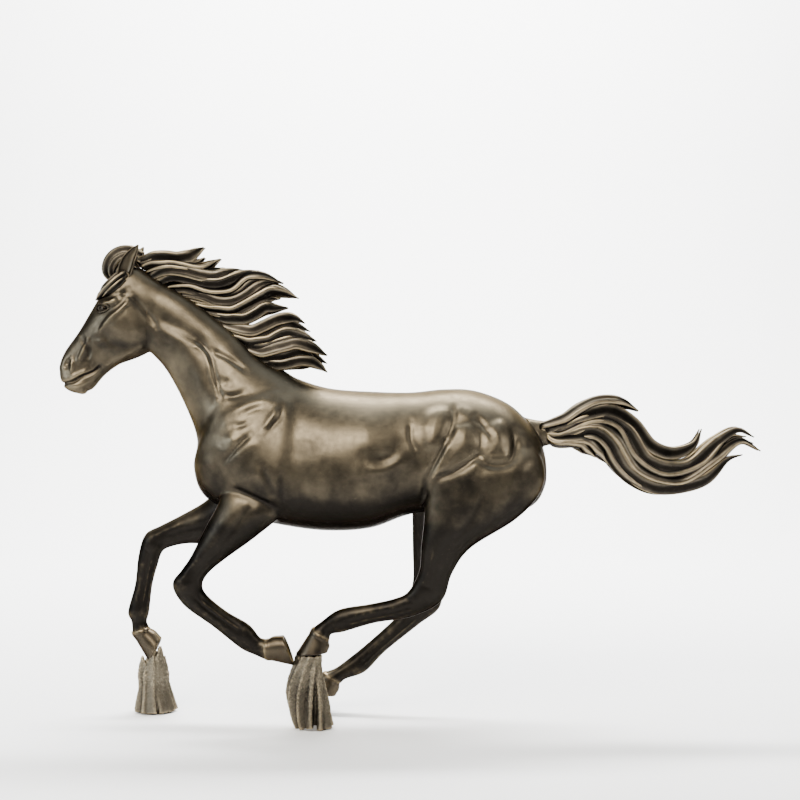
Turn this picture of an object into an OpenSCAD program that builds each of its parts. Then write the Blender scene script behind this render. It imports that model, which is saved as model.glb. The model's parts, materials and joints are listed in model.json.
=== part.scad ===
// Life-size galloping horse, cast in bronze sections over a steel armature.
// Millimetres. The horse runs along -X, its left side faces -Y, the ground is z = 0.

/* [Castings] */
// Wall thickness of the hollow bronze castings
shell_wall = 8; // [6:1:10]
// Number of facets round the trunk and neck castings
body_sides = 24; // [20:2:28]
// Number of facets round a leg casting
leg_sides = 16; // [12:2:18]
// Number of facets round a lock of hair
lock_sides = 8; // [6:2:10]

/* [Legs] */
// Girth of the left fore leg compared with the drawing
left_fore_size = 1.07; // [0.9:0.01:1.15]
// Girth of the right fore leg compared with the drawing
right_fore_size = 0.94; // [0.9:0.01:1.15]
// Girth of both hind legs compared with the drawing
hind_size = 1; // [0.9:0.01:1.1]

/* [Hair] */
// Thickness of the mane locks compared with their width
mane_thickness = 0.55; // [0.45:0.05:0.7]
// Sideways spread of the mane tips
mane_spread = 95; // [60:5:110]
// Sideways spread of the tail locks
tail_spread = 60; // [40:5:80]

/* [Armature] */
// Outer radius of the spine tube
spine_r = 38; // [30:1:44]
// Wall of the spine tube
spine_wall = 5; // [4:1:8]
// Radius of the cross bars at the shoulder and the hip
bar_r = 22; // [18:1:26]
// Radius of the round steel bar inside the two supporting legs
leg_rod_r = 14; // [11:1:15]
// Thickness of the sleeves behind the casting seams
sleeve_t = 6; // [4:1:8]

/* [Anchors] */
// Radius of the round anchor plate inside each support
plate_r = 60; // [56:1:62]
// Thickness of the anchor plate
plate_t = 25; // [20:1:35]
// Spacing of the four tapped holes, square
hole_spacing = 64; // [58:1:68]
// Diameter of the tapped holes
hole_d = 16; // [12:1:18]

/* [Hidden] */

bronze = [0.36, 0.28, 0.18];
bronze_hair = [0.30, 0.23, 0.15];
steel = [0.62, 0.64, 0.66];

// Trunk and neck stations: [back x, z,  belly x, z,  side place y, half width, narrowing at the top]
trunk_line = [
  [604, 1190, 611, 1112, 0, 42, 0],        // point of the buttock
  [588, 1242, 602, 1048, 0, 105, 0],
  [540, 1325, 552, 970, 0, 184, 0.01],     // under the dock
  [440, 1420, 415, 912, 0, 236, 0.02],
  [290, 1478, 225, 904, 0, 260, 0.04],     // top of the croup
  [150, 1484, 85, 938, 0, 258, 0.06],      // hips and flank
  [0, 1470, -22, 922, 0, 252, 0.09],       // loin seam
  [-180, 1474, -180, 867, 0, 279, 0.12],   // deepest of the belly
  [-360, 1488, -375, 856, 0, 282, 0.17],
  [-500, 1530, -575, 881, 0, 262, 0.22],   // girth seam
  [-570, 1570, -768, 929, 0, 235, 0.21],   // withers
  [-640, 1607, -918, 1008, 0, 203, 0.18],
  [-692, 1647, -966, 1132, 0, 170, 0.18],  // breast
  [-742, 1699, -952, 1258, 0, 136, 0.16],  // neck seam
  [-846, 1796, -1008, 1415, 0, 104, 0.13],
  [-974, 1888, -1092, 1572, 0, 90, 0.08],
  [-1170, 1996, -1174, 1664, 0, 81, 0]     // poll seam
];
loin_seam = 6;
girth_seam = 9;
neck_seam = 13;
poll_seam = 16;

head_line = [
  [-1170, 1996, -1174, 1664, 0, 81],
  [-1246, 2042, -1178, 1654, 0, 92],   // poll
  [-1316, 1998, -1196, 1644, 0, 101],  // forehead
  [-1374, 1930, -1242, 1624, 0, 103],  // eyes
  [-1428, 1840, -1312, 1598, 0, 80],   // end of the cheek
  [-1488, 1742, -1376, 1550, 0, 58],   // bridge of the nose
  [-1552, 1650, -1424, 1494, 0, 51],   // nostrils
  [-1576, 1576, -1462, 1466, 0, 49],   // upper lip
  [-1562, 1517, -1494, 1470, 0, 38],
  [-1551, 1494, -1520, 1476, 0, 20]
];

// What left and right legs share at each station: [depth, half width, side place]
fore_girth = [
  [255, 50, 110],  // inside the shoulder
  [268, 80, 150],  // elbow
  [215, 72, 160],  // upper forearm
  [138, 52, 160],  // lower forearm
  [110, 44, 160],  // above the knee
  [118, 46, 160],  // knee
  [100, 37, 160],  // below the knee
  [81, 29, 160],   // middle of the cannon
  [99, 37, 160],   // fetlock
  [70, 32, 160],   // pastern
  [86, 43, 160],   // coronet
  [131, 57, 160]   // sole
];
fore_knee = 5;
fore_coronet = 10;

hind_girth = [
  [360, 70, 120],   // inside the hip
  [525, 112, 158],  // upper thigh
  [512, 118, 172],  // thigh
  [400, 98, 184],   // stifle
  [215, 68, 186],   // gaskin
  [142, 47, 178],   // above the hock
  [150, 42, 168],   // hock
  [107, 34, 161],   // below the hock
  [82, 29, 157],    // middle of the cannon
  [96, 36, 152],    // fetlock
  [66, 33, 150],    // pastern
  [95, 42, 150],    // coronet
  [143, 57, 150]    // sole
];
hind_hock = 6;
hind_coronet = 11;

// How each leg is held: middle x, z of every station and the tilt of its front edge, in degrees
left_fore_pose = [
  [-682, 1112, 10], [-690, 988, 10], [-782, 868, 8], [-886, 752, 4], [-944, 690, 4], [-978, 632, 0],
  [-942, 563, -22], [-835, 481, -46], [-728, 406, -71], [-670, 361, -74], [-628, 347, -95], [-532, 345, -111]
];
right_fore_pose = [
  [-722, 1115, 20], [-780, 962, 40], [-898, 876, 66], [-1040, 838, 78], [-1134, 803, 72], [-1182, 771, 50],
  [-1206, 697, 24], [-1226, 585, 2], [-1250, 460, 0], [-1248, 416, 4], [-1238, 366, -30], [-1170, 280, -65]
];
left_hind_pose = [
  [307, 1310, 0], [318, 1170, 0], [315, 1045, 0], [262, 925, 0], [157, 800, 0], [112, 690, 2], [64, 582, 14],
  [-33, 531, 44], [-165, 505, 76], [-300, 473, 79], [-370, 440, 52], [-396, 405, 32], [-432, 328, -5]
];
right_hind_pose = [
  [277, 1295, 0], [287, 1150, 0], [270, 1018, 0], [214, 890, 0], [123, 742, 0], [88, 600, 3], [63, 490, 9],
  [-12, 415, 16], [-150, 298, 30], [-246, 212, 31], [-320, 175, 40], [-362, 153, 28], [-410, 85, 8]
];

// Sections of a leg held in a pose, front edge first.
function leg_line(pose, girth, side, size) = [
  for (i = [0:len(pose) - 1])
    let (p = pose[i], half = girth[i][0] * size / 2, dx = half * cos(p[2]), dz = half * sin(p[2]))
    [p[0] - dx, p[1] + dz, p[0] + dx, p[1] - dz, side * girth[i][2], girth[i][1]]
];

// Middles of the stations from the second one to the coronet.
function leg_middles(pose, girth, side) = [
  for (i = [1:len(pose) - 2]) [pose[i][0], side * girth[i][2], pose[i][1]]
];

tail_line = [
  [470, 1365, 520, 1215, 0, 40],
  [550, 1350, 600, 1230, 0, 40],
  [620, 1345, 635, 1240, 0, 38],
  [685, 1355, 700, 1240, 0, 42],
  [735, 1385, 775, 1240, 0, 50],
  [800, 1400, 830, 1200, 0, 56],
  [880, 1400, 910, 1150, 0, 60],
  [955, 1370, 980, 1110, 0, 60],
  [1020, 1315, 1045, 1080, 0, 56],
  [1080, 1255, 1110, 1060, 0, 50],
  [1150, 1215, 1180, 1060, 0, 44],
  [1225, 1215, 1245, 1095, 0, 36],
  [1290, 1235, 1310, 1135, 0, 28],
  [1350, 1250, 1360, 1180, 0, 16]
];
dock_seam = 4;

// Support under the right fore hoof and under the left hind hoof
front_foot = [-1172, 160];
rear_foot = [-424, -150];
front_tuft = [
  [-1265, 0, -1080, 0, 160, 82],
  [-1262, 30, -1082, 30, 160, 80],
  [-1262, 80, -1095, 80, 160, 74],
  [-1262, 130, -1105, 130, 160, 64],
  [-1258, 180, -1110, 190, 160, 58],
  [-1250, 230, -1110, 250, 160, 56],
  [-1240, 265, -1118, 310, 160, 50]
];
rear_plume = [
  [-540, 0, -308, 0, -150, 84],
  [-548, 40, -315, 40, -150, 82],
  [-550, 100, -345, 100, -150, 74],
  [-545, 160, -365, 160, -150, 66],
  [-530, 220, -375, 220, -150, 62],
  [-515, 280, -375, 280, -150, 60],
  [-505, 320, -375, 330, -150, 56]
];

neck_post_path = [
  [-640, 0, 1215], [-740, 0, 1330], [-860, 0, 1500], [-960, 0, 1640], [-1080, 0, 1770], [-1200, 0, 1850]
];
spigot_path = [
  [300, 0, 1205], [380, 0, 1235], [470, 0, 1280], [580, 0, 1292], [680, 0, 1298], [790, 0, 1300]
];
spine_z = 1200;
shoulder_x = -690;
hip_x = 310;

// Bars down the two standing legs, from the armature through the middles of the leg to the anchor.
function bar_path(start, middles, foot) = concat(
  [start], middles, [[foot[0], foot[1], plate_t + 195], [foot[0], foot[1], plate_t]]
);
fore_rod_path = bar_path([shoulder_x, 130, spine_z], leg_middles(right_fore_pose, fore_girth, 1), front_foot);
hind_rod_path = bar_path([hip_x, -120, spine_z], leg_middles(left_hind_pose, hind_girth, -1), rear_foot);

// ---- curves and sections ----
function blend4(a, b, c, d, t) =
  0.5 * (2 * b + (c - a) * t + (2 * a - 5 * b + 4 * c - d) * t * t + (3 * b - a - 3 * c + d) * t * t * t);

function at(p, i) = p[min(max(i, 0), len(p) - 1)];

function smooth(p, k) = concat(
  [for (i = [0:len(p) - 2]) for (j = [0:k - 1]) blend4(at(p, i - 1), p[i], p[i + 1], at(p, i + 2), j / k)],
  [p[len(p) - 1]]
);

function part_of(p, a, b) = [for (i = [a:b]) p[i]];

function len_of(s) = len(s);

function shrink(s, t) =
  let (dx = s[2] - s[0], dz = s[3] - s[1], len = sqrt(dx * dx + dz * dz))
  [s[0] + dx / len * t, s[1] + dz / len * t, s[2] - dx / len * t, s[3] - dz / len * t, s[4], s[5] - t,
   len_of(s) > 6 ? s[6] : 0];

function soft(v, p) = sign(v) * pow(abs(v), p);

// One closed ring of points for a section; "egg" makes the first end narrower.
function ring(s, n, egg = 0, p = 0.94) = [
  for (k = [0:n - 1])
    let (a = 360 * (k + 0.5) / n, c = soft(cos(a), p), q = soft(sin(a), p))
    [(s[0] + s[2]) / 2 + (s[0] - s[2]) / 2 * c,
     s[4] + s[5] * q * (1 - (len(s) > 6 ? s[6] + egg : egg) * c),
     (s[1] + s[3]) / 2 + (s[1] - s[3]) / 2 * c]
];

function strip(n, a, b) = [
  for (k = [0:n - 1])
    let (m = (k + 1) % n)
    each [[a + k, a + m, b + m], [a + k, b + m, b + k]]
];

function flip(faces) = [for (f = faces) [f[2], f[1], f[0]]];

function fan(n, a) = [for (k = [1:n - 2]) [a, a + k, a + k + 1]];

function middle(r) = (r[0] + r[floor(len(r) / 2)]) / 2;

// True when the rings turn clockwise seen along the way they follow one another.
function turns_forward(rings) =
  let (r = rings[0], c = middle(r), n = cross(r[0] - c, r[floor(len(r) / 4)] - c))
  n * (middle(rings[1]) - c) > 0;

// Closed skin through outer rings; inner rings make it hollow, open where an end is open.
module skin(outer, inner = [], start_open = false, end_open = false) {
  n = len(outer[0]);
  no = len(outer);
  ni = len(inner);
  base = no * n;
  last = base + (ni - 1) * n;
  outer_sides = [for (i = [0:no - 2]) each strip(n, i * n, (i + 1) * n)];
  inner_sides = ni == 0 ? [] : [for (i = [0:ni - 2]) each flip(strip(n, base + i * n, base + (i + 1) * n))];
  start_faces = ni == 0 ? flip(fan(n, 0))
    : start_open ? flip(strip(n, 0, base))
    : concat(flip(fan(n, 0)), fan(n, base));
  end_faces = ni == 0 ? fan(n, (no - 1) * n)
    : end_open ? strip(n, (no - 1) * n, last)
    : concat(fan(n, (no - 1) * n), flip(fan(n, last)));
  all_faces = concat(outer_sides, inner_sides, start_faces, end_faces);
  polyhedron(
    points = [for (r = concat(outer, inner)) each r],
    faces = turns_forward(outer) ? flip(all_faces) : all_faces,
    convexity = 8
  );
}

// Joins, cuts or trims the pieces below it into one closed skin.
module fused() {
  resize([0, 0, 0]) children();
}

function rings_of(line, n, egg, in = 0) = [for (s = line) ring(shrink(s, in), n, egg)];

trunk_fine = smooth(trunk_line, 2);
left_fore = smooth(leg_line(left_fore_pose, fore_girth, -1, left_fore_size), 2);
right_fore = smooth(leg_line(right_fore_pose, fore_girth, 1, right_fore_size), 2);
left_hind = smooth(leg_line(left_hind_pose, hind_girth, -1, hind_size), 2);
right_hind = smooth(leg_line(right_hind_pose, hind_girth, 1, hind_size), 2);

module trunk_section(a, b, a_open = true, b_open = true) {
  outer = rings_of(part_of(trunk_fine, 2 * a, 2 * b), body_sides, 0);
  inner = rings_of(part_of(trunk_fine, a_open ? 2 * a : 2 * a + 2, b_open ? 2 * b : 2 * b - 2),
                   body_sides, 0, shell_wall);
  skin(outer, inner, a_open, b_open);
}

module trunk_solid(in = 0) {
  first = in > 0 ? 2 : 0;
  skin(rings_of(part_of(trunk_fine, first, 2 * poll_seam), body_sides, 0, in));
}

module seam_sleeve(seam) {
  reach = 1;
  line = part_of(trunk_fine, 2 * seam - reach, 2 * seam + reach);
  short = [for (s = line) (s + trunk_fine[2 * seam]) / 2];
  skin(rings_of(short, body_sides, 0, shell_wall),
       rings_of(short, body_sides, 0, shell_wall + sleeve_t), true, true);
}

head_fine = smooth(head_line, 2);
head_sides = 18;

module head_solid() {
  skin(rings_of(head_fine, head_sides, -0.16));
}

module leg_solid(line, in = 0) {
  skin(rings_of(line, leg_sides, 0, in));
}

module leg_tube(line) {
  skin(rings_of(line, leg_sides, 0), rings_of(line, leg_sides, 0, shell_wall), true, true);
}

module leg_upper(line, joint) {
  difference() {
    leg_tube(part_of(line, 0, joint));
    trunk_solid();
  }
}

module leg_cannon(line, joint, coronet) {
  leg_tube(part_of(line, joint, coronet));
}

module hoof(line, coronet) {
  n = len(line) - 1;
  inner_end = line[n] + (line[coronet] - line[n]) * 0.22;
  skin(rings_of([line[coronet], line[n]], leg_sides, 0),
       rings_of([line[coronet], inner_end], leg_sides, 0, shell_wall), true, false);
}

module rod(path, r, sides = 12) {
  n = len(path);
  skin([
    for (i = [0:n - 1])
      let (d = path[min(i + 1, n - 1)] - path[max(i - 1, 0)],
           w = d / norm(d),
           u = cross([0, 1, 0], w) / norm(cross([0, 1, 0], w)),
           v = cross(w, u))
      [for (k = [0:sides - 1]) path[i] + r * cos(360 * k / sides) * v + r * sin(360 * k / sides) * u]
  ]);
}

// A tapered lock of hair along a four-point curve, ridged along its length.
function curve4(a, b, c, d, t) =
  a * pow(1 - t, 3) + 3 * b * t * pow(1 - t, 2) + 3 * c * t * t * (1 - t) + d * pow(t, 3);

module lock(a, b, c, d, wide, thick, tip = 5, steps = 7) {
  skin([
    for (i = [0:steps])
      let (t = i / steps,
           here = curve4(a, b, c, d, t),
           dir = curve4(a, b, c, d, min(t + 0.02, 1)) - curve4(a, b, c, d, max(t - 0.02, 0)),
           w = dir / norm(dir),
           u = cross([0, 1, 0], w) / norm(cross([0, 1, 0], w)),
           v = cross(w, u),
           size = max(pow(1 - t, 0.7) * (0.75 + 0.7 * t), tip / wide))
      [for (k = [0:lock_sides - 1])
        here + thick * size * cos(360 * k / lock_sides) * v + wide * size * sin(360 * k / lock_sides) * u]
  ]);
}

// Mane lock from the crest to its tip, rising first and streaming back.
module mane_lock(root_x, root_z, tip_x, tip_z, side, wide) {
  dx = tip_x - root_x;
  rise = 70;
  lock([root_x, side * 18, root_z - 35],
       [root_x + 0.15 * dx, side * (25 + 0.2 * mane_spread), root_z + rise],
       [tip_x - 0.45 * dx, side * (20 + 0.6 * mane_spread), tip_z - 15],
       [tip_x, side * (10 + 0.8 * mane_spread), tip_z],
       wide, wide * mane_thickness);
}

upper_mane = [
  [-1180, 2000, -935, 2125, -1, 40],
  [-1130, 1965, -850, 2080, 1, 42],
  [-1080, 1945, -760, 2055, -0.3, 46],
  [-1030, 1920, -675, 2025, 0.4, 46]
];
middle_mane = [
  [-988, 1892, -570, 1965, -0.9, 47],
  [-940, 1865, -505, 1900, 0.8, 48],
  [-900, 1835, -550, 1855, -0.4, 46],
  [-860, 1800, -480, 1840, 0.3, 44]
];
lower_mane = [
  [-820, 1765, -470, 1785, -0.9, 46],
  [-780, 1725, -425, 1700, 0.8, 46],
  [-740, 1685, -400, 1735, -0.2, 44],
  [-700, 1645, -370, 1640, 0.9, 42],
  [-650, 1610, -365, 1565, -0.6, 38]
];

// Radius of the roll along the crest that the locks grow from
crest_r = 33;

module mane_section(locks) {
  ridge = [for (m = locks) [m[0], 0, m[1] - 10]];
  n = len(ridge) - 1;
  before = ridge[0] + (ridge[0] - ridge[1]) * 0.3;
  after = ridge[n] + (ridge[n] - ridge[n - 1]) * 0.3;
  fused() difference() {
    union() {
      rod(concat([before], ridge, [after]), crest_r);
      for (m = locks) {
        mane_lock(m[0], m[1], m[2], m[3], m[4], m[5]);
      }
    }
    trunk_solid();
    head_solid();
  }
}

// ---- trunk, neck and head castings ----
module forehand() {
  color(bronze) fused() difference() {
    trunk_section(girth_seam, neck_seam);
    leg_solid(part_of(left_fore, 0, 3), shell_wall);
    leg_solid(part_of(right_fore, 0, 3), shell_wall);
  }
}

module barrel() {
  color(bronze) trunk_section(loin_seam, girth_seam);
}

module hindquarters() {
  color(bronze) fused() difference() {
    trunk_section(0, loin_seam, false, true);
    leg_solid(part_of(left_hind, 0, 6), shell_wall);
    leg_solid(part_of(right_hind, 0, 6), shell_wall);
    leg_solid(part_of(tail_line, 0, 2), shell_wall);
  }
}

module neck() {
  color(bronze) trunk_section(neck_seam, poll_seam);
}

module head() {
  outer = rings_of(head_fine, head_sides, -0.16);
  inner_line = part_of(head_fine, 0, len(head_fine) - 5);
  color(bronze) skin(outer, rings_of(inner_line, head_sides, -0.16, shell_wall), true, false);
}

module ear_blank(side) {
  lock([-1285, side * 66, 1985], [-1285, side * 74, 2035], [-1262, side * 70, 2085], [-1235, side * 66, 2135],
       34, 22, 4, 8);
}

module ear(side) {
  color(bronze) fused() difference() {
    ear_blank(side);
    head_solid();
    lock([-1270, side * 88, 2030], [-1266, side * 90, 2060],
         [-1254, side * 84, 2085], [-1240, side * 80, 2110], 20, 14, 3, 6);
  }
}

module ear_left() {
  ear(-1);
}

module ear_right() {
  ear(1);
}

module eye(side) {
  color(bronze) fused() difference() {
    translate([-1380, side * 68, 1850]) sphere(r = 24, $fn = 20);
    head_solid();
  }
}

module eye_left() {
  eye(-1);
}

module eye_right() {
  eye(1);
}

module forelock_blank() {
  lock([-1230, 0, 2010], [-1290, -20, 2150], [-1440, -30, 2120], [-1400, -24, 2030], 34, 26);
  lock([-1225, 18, 2020], [-1270, 24, 2150], [-1370, 30, 2130], [-1385, 28, 2060], 30, 22);
  lock([-1240, -12, 2000], [-1300, -24, 2060], [-1370, -30, 2040], [-1380, -30, 1985], 26, 20);
}

module forelock() {
  color(bronze_hair) fused() difference() {
    forelock_blank();
    head_solid();
    trunk_solid();
    ear_blank(-1);
    ear_blank(1);
  }
}

module mane_upper() {
  color(bronze_hair) fused() difference() {
    mane_section(upper_mane);
    forelock_blank();
    ear_blank(-1);
    ear_blank(1);
  }
}

module mane_middle() {
  color(bronze_hair) fused() difference() {
    mane_section(middle_mane);
    mane_section(upper_mane);
  }
}

module mane_lower() {
  color(bronze_hair) fused() difference() {
    mane_section(lower_mane);
    mane_section(middle_mane);
  }
}

// ---- tail ----
module tail_dock() {
  color(bronze_hair) fused() difference() {
    leg_tube(part_of(tail_line, 0, dock_seam));
    trunk_solid();
  }
}

module tail_core() {
  skin(rings_of(part_of(tail_line, dock_seam, len(tail_line) - 1), leg_sides, 0));
}

module tail_switch() {
  last = len(tail_line) - 1;
  color(bronze_hair) skin(rings_of(part_of(tail_line, dock_seam, last), leg_sides, 0),
    rings_of(part_of(tail_line, dock_seam, last - 2), leg_sides, 0, shell_wall), true, false);
}

module tail_lock(a, b, c, d, side, wide) {
  lock([a[0], side * 10, a[1]], [b[0], side * 0.6 * tail_spread, b[1]],
       [c[0], side * tail_spread, c[1]], [d[0], side * 0.8 * tail_spread, d[1]], wide, wide * 0.62);
}

module tail_locks_over() {
  tail_lock([780, 1370], [860, 1480], [1000, 1500], [1030, 1385], -0.7, 34);
  tail_lock([800, 1370], [900, 1470], [1030, 1460], [1130, 1260], 0.8, 36);
  tail_lock([900, 1360], [1010, 1400], [1110, 1180], [1300, 1310], -0.9, 38);
  tail_lock([960, 1320], [1100, 1290], [1230, 1180], [1330, 1320], 0.6, 36);
  tail_lock([1080, 1230], [1200, 1190], [1380, 1340], [1560, 1275], -0.4, 36);
  tail_lock([1150, 1190], [1290, 1180], [1425, 1290], [1573, 1210], 0.7, 34);
}

module tail_locks_under() {
  tail_lock([800, 1230], [880, 1180], [930, 1080], [1050, 1050], -0.8, 34);
  tail_lock([860, 1200], [950, 1100], [1060, 1030], [1200, 1015], 0.8, 36);
  tail_lock([980, 1130], [1080, 1030], [1180, 990], [1260, 1025], -0.6, 34);
  tail_lock([1100, 1090], [1240, 1060], [1300, 1120], [1440, 1190], 0.5, 32);
  tail_lock([1200, 1110], [1300, 1100], [1390, 1180], [1500, 1195], -0.6, 30);
}

module tail_upper_locks() {
  color(bronze_hair) fused() difference() {
    tail_locks_over();
    tail_core();
  }
}

module tail_lower_locks() {
  color(bronze_hair) fused() difference() {
    tail_locks_under();
    tail_core();
    tail_locks_over();
  }
}

// ---- legs ----
fore_joint = 2 * fore_knee;
hind_joint = 2 * hind_hock;
fore_hoof_top = 2 * fore_coronet;
hind_hoof_top = 2 * hind_coronet;

module left_fore_upper() {
  color(bronze) fused() leg_upper(left_fore, fore_joint);
}

module left_fore_cannon() {
  color(bronze) leg_cannon(left_fore, fore_joint, fore_hoof_top);
}

module left_fore_hoof() {
  color(bronze) hoof(left_fore, fore_hoof_top);
}

module right_fore_upper() {
  color(bronze) fused() leg_upper(right_fore, fore_joint);
}

module right_fore_cannon() {
  color(bronze) leg_cannon(right_fore, fore_joint, fore_hoof_top);
}

module right_fore_hoof() {
  color(bronze) fused() difference() {
    hoof(right_fore, fore_hoof_top);
    rod(fore_rod_path, leg_rod_r);
  }
}

module left_hind_upper() {
  color(bronze) fused() leg_upper(left_hind, hind_joint);
}

module left_hind_cannon() {
  color(bronze) leg_cannon(left_hind, hind_joint, hind_hoof_top);
}

module left_hind_hoof() {
  color(bronze) fused() difference() {
    hoof(left_hind, hind_hoof_top);
    rod(hind_rod_path, leg_rod_r);
  }
}

module right_hind_upper() {
  color(bronze) fused() leg_upper(right_hind, hind_joint);
}

module right_hind_cannon() {
  color(bronze) leg_cannon(right_hind, hind_joint, hind_hoof_top);
}

module right_hind_hoof() {
  color(bronze) hoof(right_hind, hind_hoof_top);
}

// ---- supports standing on the ground ----
module support(line, foot, leg_line, coronet) {
  n = len(line) - 1;
  difference() {
    skin(rings_of(line, 24, 0), rings_of(part_of(line, 0, n - 1), 24, 0, shell_wall), true, false);
    skin(rings_of([leg_line[coronet], leg_line[len(leg_line) - 1]], leg_sides, 0));
    children();
  }
}

module front_support() {
  color(bronze_hair) fused() support(front_tuft, front_foot, right_fore, fore_hoof_top) {
    rod(fore_rod_path, leg_rod_r);
  }
}

module rear_support() {
  color(bronze_hair) fused() support(rear_plume, rear_foot, left_hind, hind_hoof_top) {
    rod(hind_rod_path, leg_rod_r);
  }
}

// ---- inside: sleeves, armature and anchors ----
module girth_sleeve() {
  color(bronze) seam_sleeve(girth_seam);
}

module loin_sleeve() {
  color(bronze) seam_sleeve(loin_seam);
}

module neck_sleeve() {
  color(bronze) seam_sleeve(neck_seam);
}

module poll_sleeve() {
  s = trunk_line[poll_seam];
  near = trunk_fine[2 * poll_seam - 1];
  color(bronze) skin(rings_of([near, s], body_sides, 0, shell_wall),
    rings_of([near, s], body_sides, 0, shell_wall + sleeve_t), true, true);
}

spine_front = -740;
spine_back = 360;

module spine_tube() {
  color(steel) difference() {
    translate([spine_front, 0, spine_z]) rotate([0, 90, 0])
      cylinder(r = spine_r, h = spine_back - spine_front, $fn = 64);
    translate([spine_front - 1, 0, spine_z]) rotate([0, 90, 0])
      cylinder(r = spine_r - spine_wall, h = spine_back - spine_front + 2, $fn = 64);
    for (x = [shoulder_x, hip_x]) {
      translate([x, 0, spine_z]) rotate([90, 0, 0]) cylinder(r = bar_r, h = 200, center = true, $fn = 48);
    }
  }
}

module cross_bar(x) {
  fused() intersection() {
    translate([x, 0, spine_z]) rotate([90, 0, 0]) cylinder(r = bar_r, h = 700, center = true, $fn = 32);
    trunk_solid(shell_wall);
  }
}

module bar_clear(x) {
  translate([x, 0, spine_z]) rotate([90, 0, 0]) cylinder(r = bar_r, h = 700, center = true, $fn = 32);
}

module spine_clear() {
  translate([spine_front, 0, spine_z]) rotate([0, 90, 0])
    cylinder(r = spine_r, h = spine_back - spine_front, $fn = 64);
}

module shoulder_bar() {
  color(steel) cross_bar(shoulder_x);
}

module hip_bar() {
  color(steel) cross_bar(hip_x);
}

module neck_post() {
  color(steel) fused() difference() {
    rod(neck_post_path, 20);
    spine_clear();
  }
}

module tail_spigot() {
  color(steel) fused() difference() {
    rod(spigot_path, 16);
    spine_clear();
    bar_clear(hip_x);
  }
}

strut_places = [-420, -120, 180];

module barrel_struts() {
  color(steel) fused() difference() {
    intersection() {
      union() {
        for (x = strut_places) {
          for (side = [-1, 1]) {
            translate([x, 0, spine_z]) rotate([side * 50, 0, 0]) translate([-25, -5, 20]) cube([50, 10, 500]);
          }
        }
      }
      trunk_solid(shell_wall);
    }
    spine_clear();
  }
}

module fore_rod() {
  color(steel) fused() difference() {
    rod(fore_rod_path, leg_rod_r);
    bar_clear(shoulder_x);
  }
}

module hind_rod() {
  color(steel) fused() difference() {
    rod(hind_rod_path, leg_rod_r);
    bar_clear(hip_x);
  }
}

module anchor(foot) {
  h = hole_spacing / 2;
  difference() {
    translate([foot[0], foot[1], 0]) cylinder(r = plate_r, h = plate_t, $fn = 72);
    for (dx = [-h, h]) {
      for (dy = [-h, h]) {
        translate([foot[0] + dx, foot[1] + dy, -1]) cylinder(d = hole_d, h = plate_t + 2, $fn = 40);
      }
    }
  }
}

module front_anchor() {
  color(steel) anchor(front_foot);
}

module rear_anchor() {
  color(steel) anchor(rear_foot);
}

forehand();
barrel();
hindquarters();
neck();
head();
ear_left();
ear_right();
eye_left();
eye_right();
forelock();
mane_upper();
mane_middle();
mane_lower();
tail_dock();
tail_switch();
tail_upper_locks();
tail_lower_locks();
left_fore_upper();
left_fore_cannon();
left_fore_hoof();
right_fore_upper();
right_fore_cannon();
right_fore_hoof();
left_hind_upper();
left_hind_cannon();
left_hind_hoof();
right_hind_upper();
right_hind_cannon();
right_hind_hoof();
front_support();
rear_support();
girth_sleeve();
loin_sleeve();
neck_sleeve();
poll_sleeve();
spine_tube();
shoulder_bar();
hip_bar();
neck_post();
tail_spigot();
barrel_struts();
fore_rod();
hind_rod();
front_anchor();
rear_anchor();
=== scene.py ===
import bpy
import bmesh
import json
import math
import numpy as np
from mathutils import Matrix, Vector
from mathutils.bvhtree import BVHTree
from mathutils.kdtree import KDTree

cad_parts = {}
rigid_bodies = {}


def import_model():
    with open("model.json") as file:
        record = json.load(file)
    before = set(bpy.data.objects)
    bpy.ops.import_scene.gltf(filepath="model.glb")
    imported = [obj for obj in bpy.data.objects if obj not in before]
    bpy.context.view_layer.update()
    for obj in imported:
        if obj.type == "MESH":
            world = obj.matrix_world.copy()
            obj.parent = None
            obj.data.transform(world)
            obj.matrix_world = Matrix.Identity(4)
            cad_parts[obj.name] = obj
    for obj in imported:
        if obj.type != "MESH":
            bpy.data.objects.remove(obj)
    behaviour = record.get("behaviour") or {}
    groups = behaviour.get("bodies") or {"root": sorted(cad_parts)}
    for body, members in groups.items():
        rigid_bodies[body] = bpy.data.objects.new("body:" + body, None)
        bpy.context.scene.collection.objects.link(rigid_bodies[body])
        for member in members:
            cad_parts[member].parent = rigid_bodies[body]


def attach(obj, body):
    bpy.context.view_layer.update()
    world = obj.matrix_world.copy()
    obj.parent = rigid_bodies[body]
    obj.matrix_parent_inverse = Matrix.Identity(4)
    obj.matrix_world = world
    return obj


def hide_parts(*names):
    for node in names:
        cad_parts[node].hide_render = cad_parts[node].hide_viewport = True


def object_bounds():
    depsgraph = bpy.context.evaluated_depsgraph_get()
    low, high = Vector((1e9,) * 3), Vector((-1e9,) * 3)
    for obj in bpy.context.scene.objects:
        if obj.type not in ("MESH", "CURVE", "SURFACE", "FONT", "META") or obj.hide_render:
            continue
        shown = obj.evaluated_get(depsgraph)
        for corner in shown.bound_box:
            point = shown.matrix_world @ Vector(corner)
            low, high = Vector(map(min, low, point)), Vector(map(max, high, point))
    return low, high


# Galloping horse in patinated bronze, modelled over its packed castings
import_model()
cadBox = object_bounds()
low = np.array(cadBox[0], float)
high = np.array(cadBox[1], float)
print("frame loaded, whole box", low.round(3), high.round(3))

# the horse is drawn in millimetres inside this box, which is fitted to the frame's own box
drawing = {"back": (-1575.2, -287.9, 0.0), "front": (1575.3, 287.9, 2136.9)}
unit = (high - low) / (np.array(drawing["front"]) - np.array(drawing["back"]))
middle = low - np.array(drawing["back"]) * unit
rng = np.random.default_rng(11)


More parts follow.
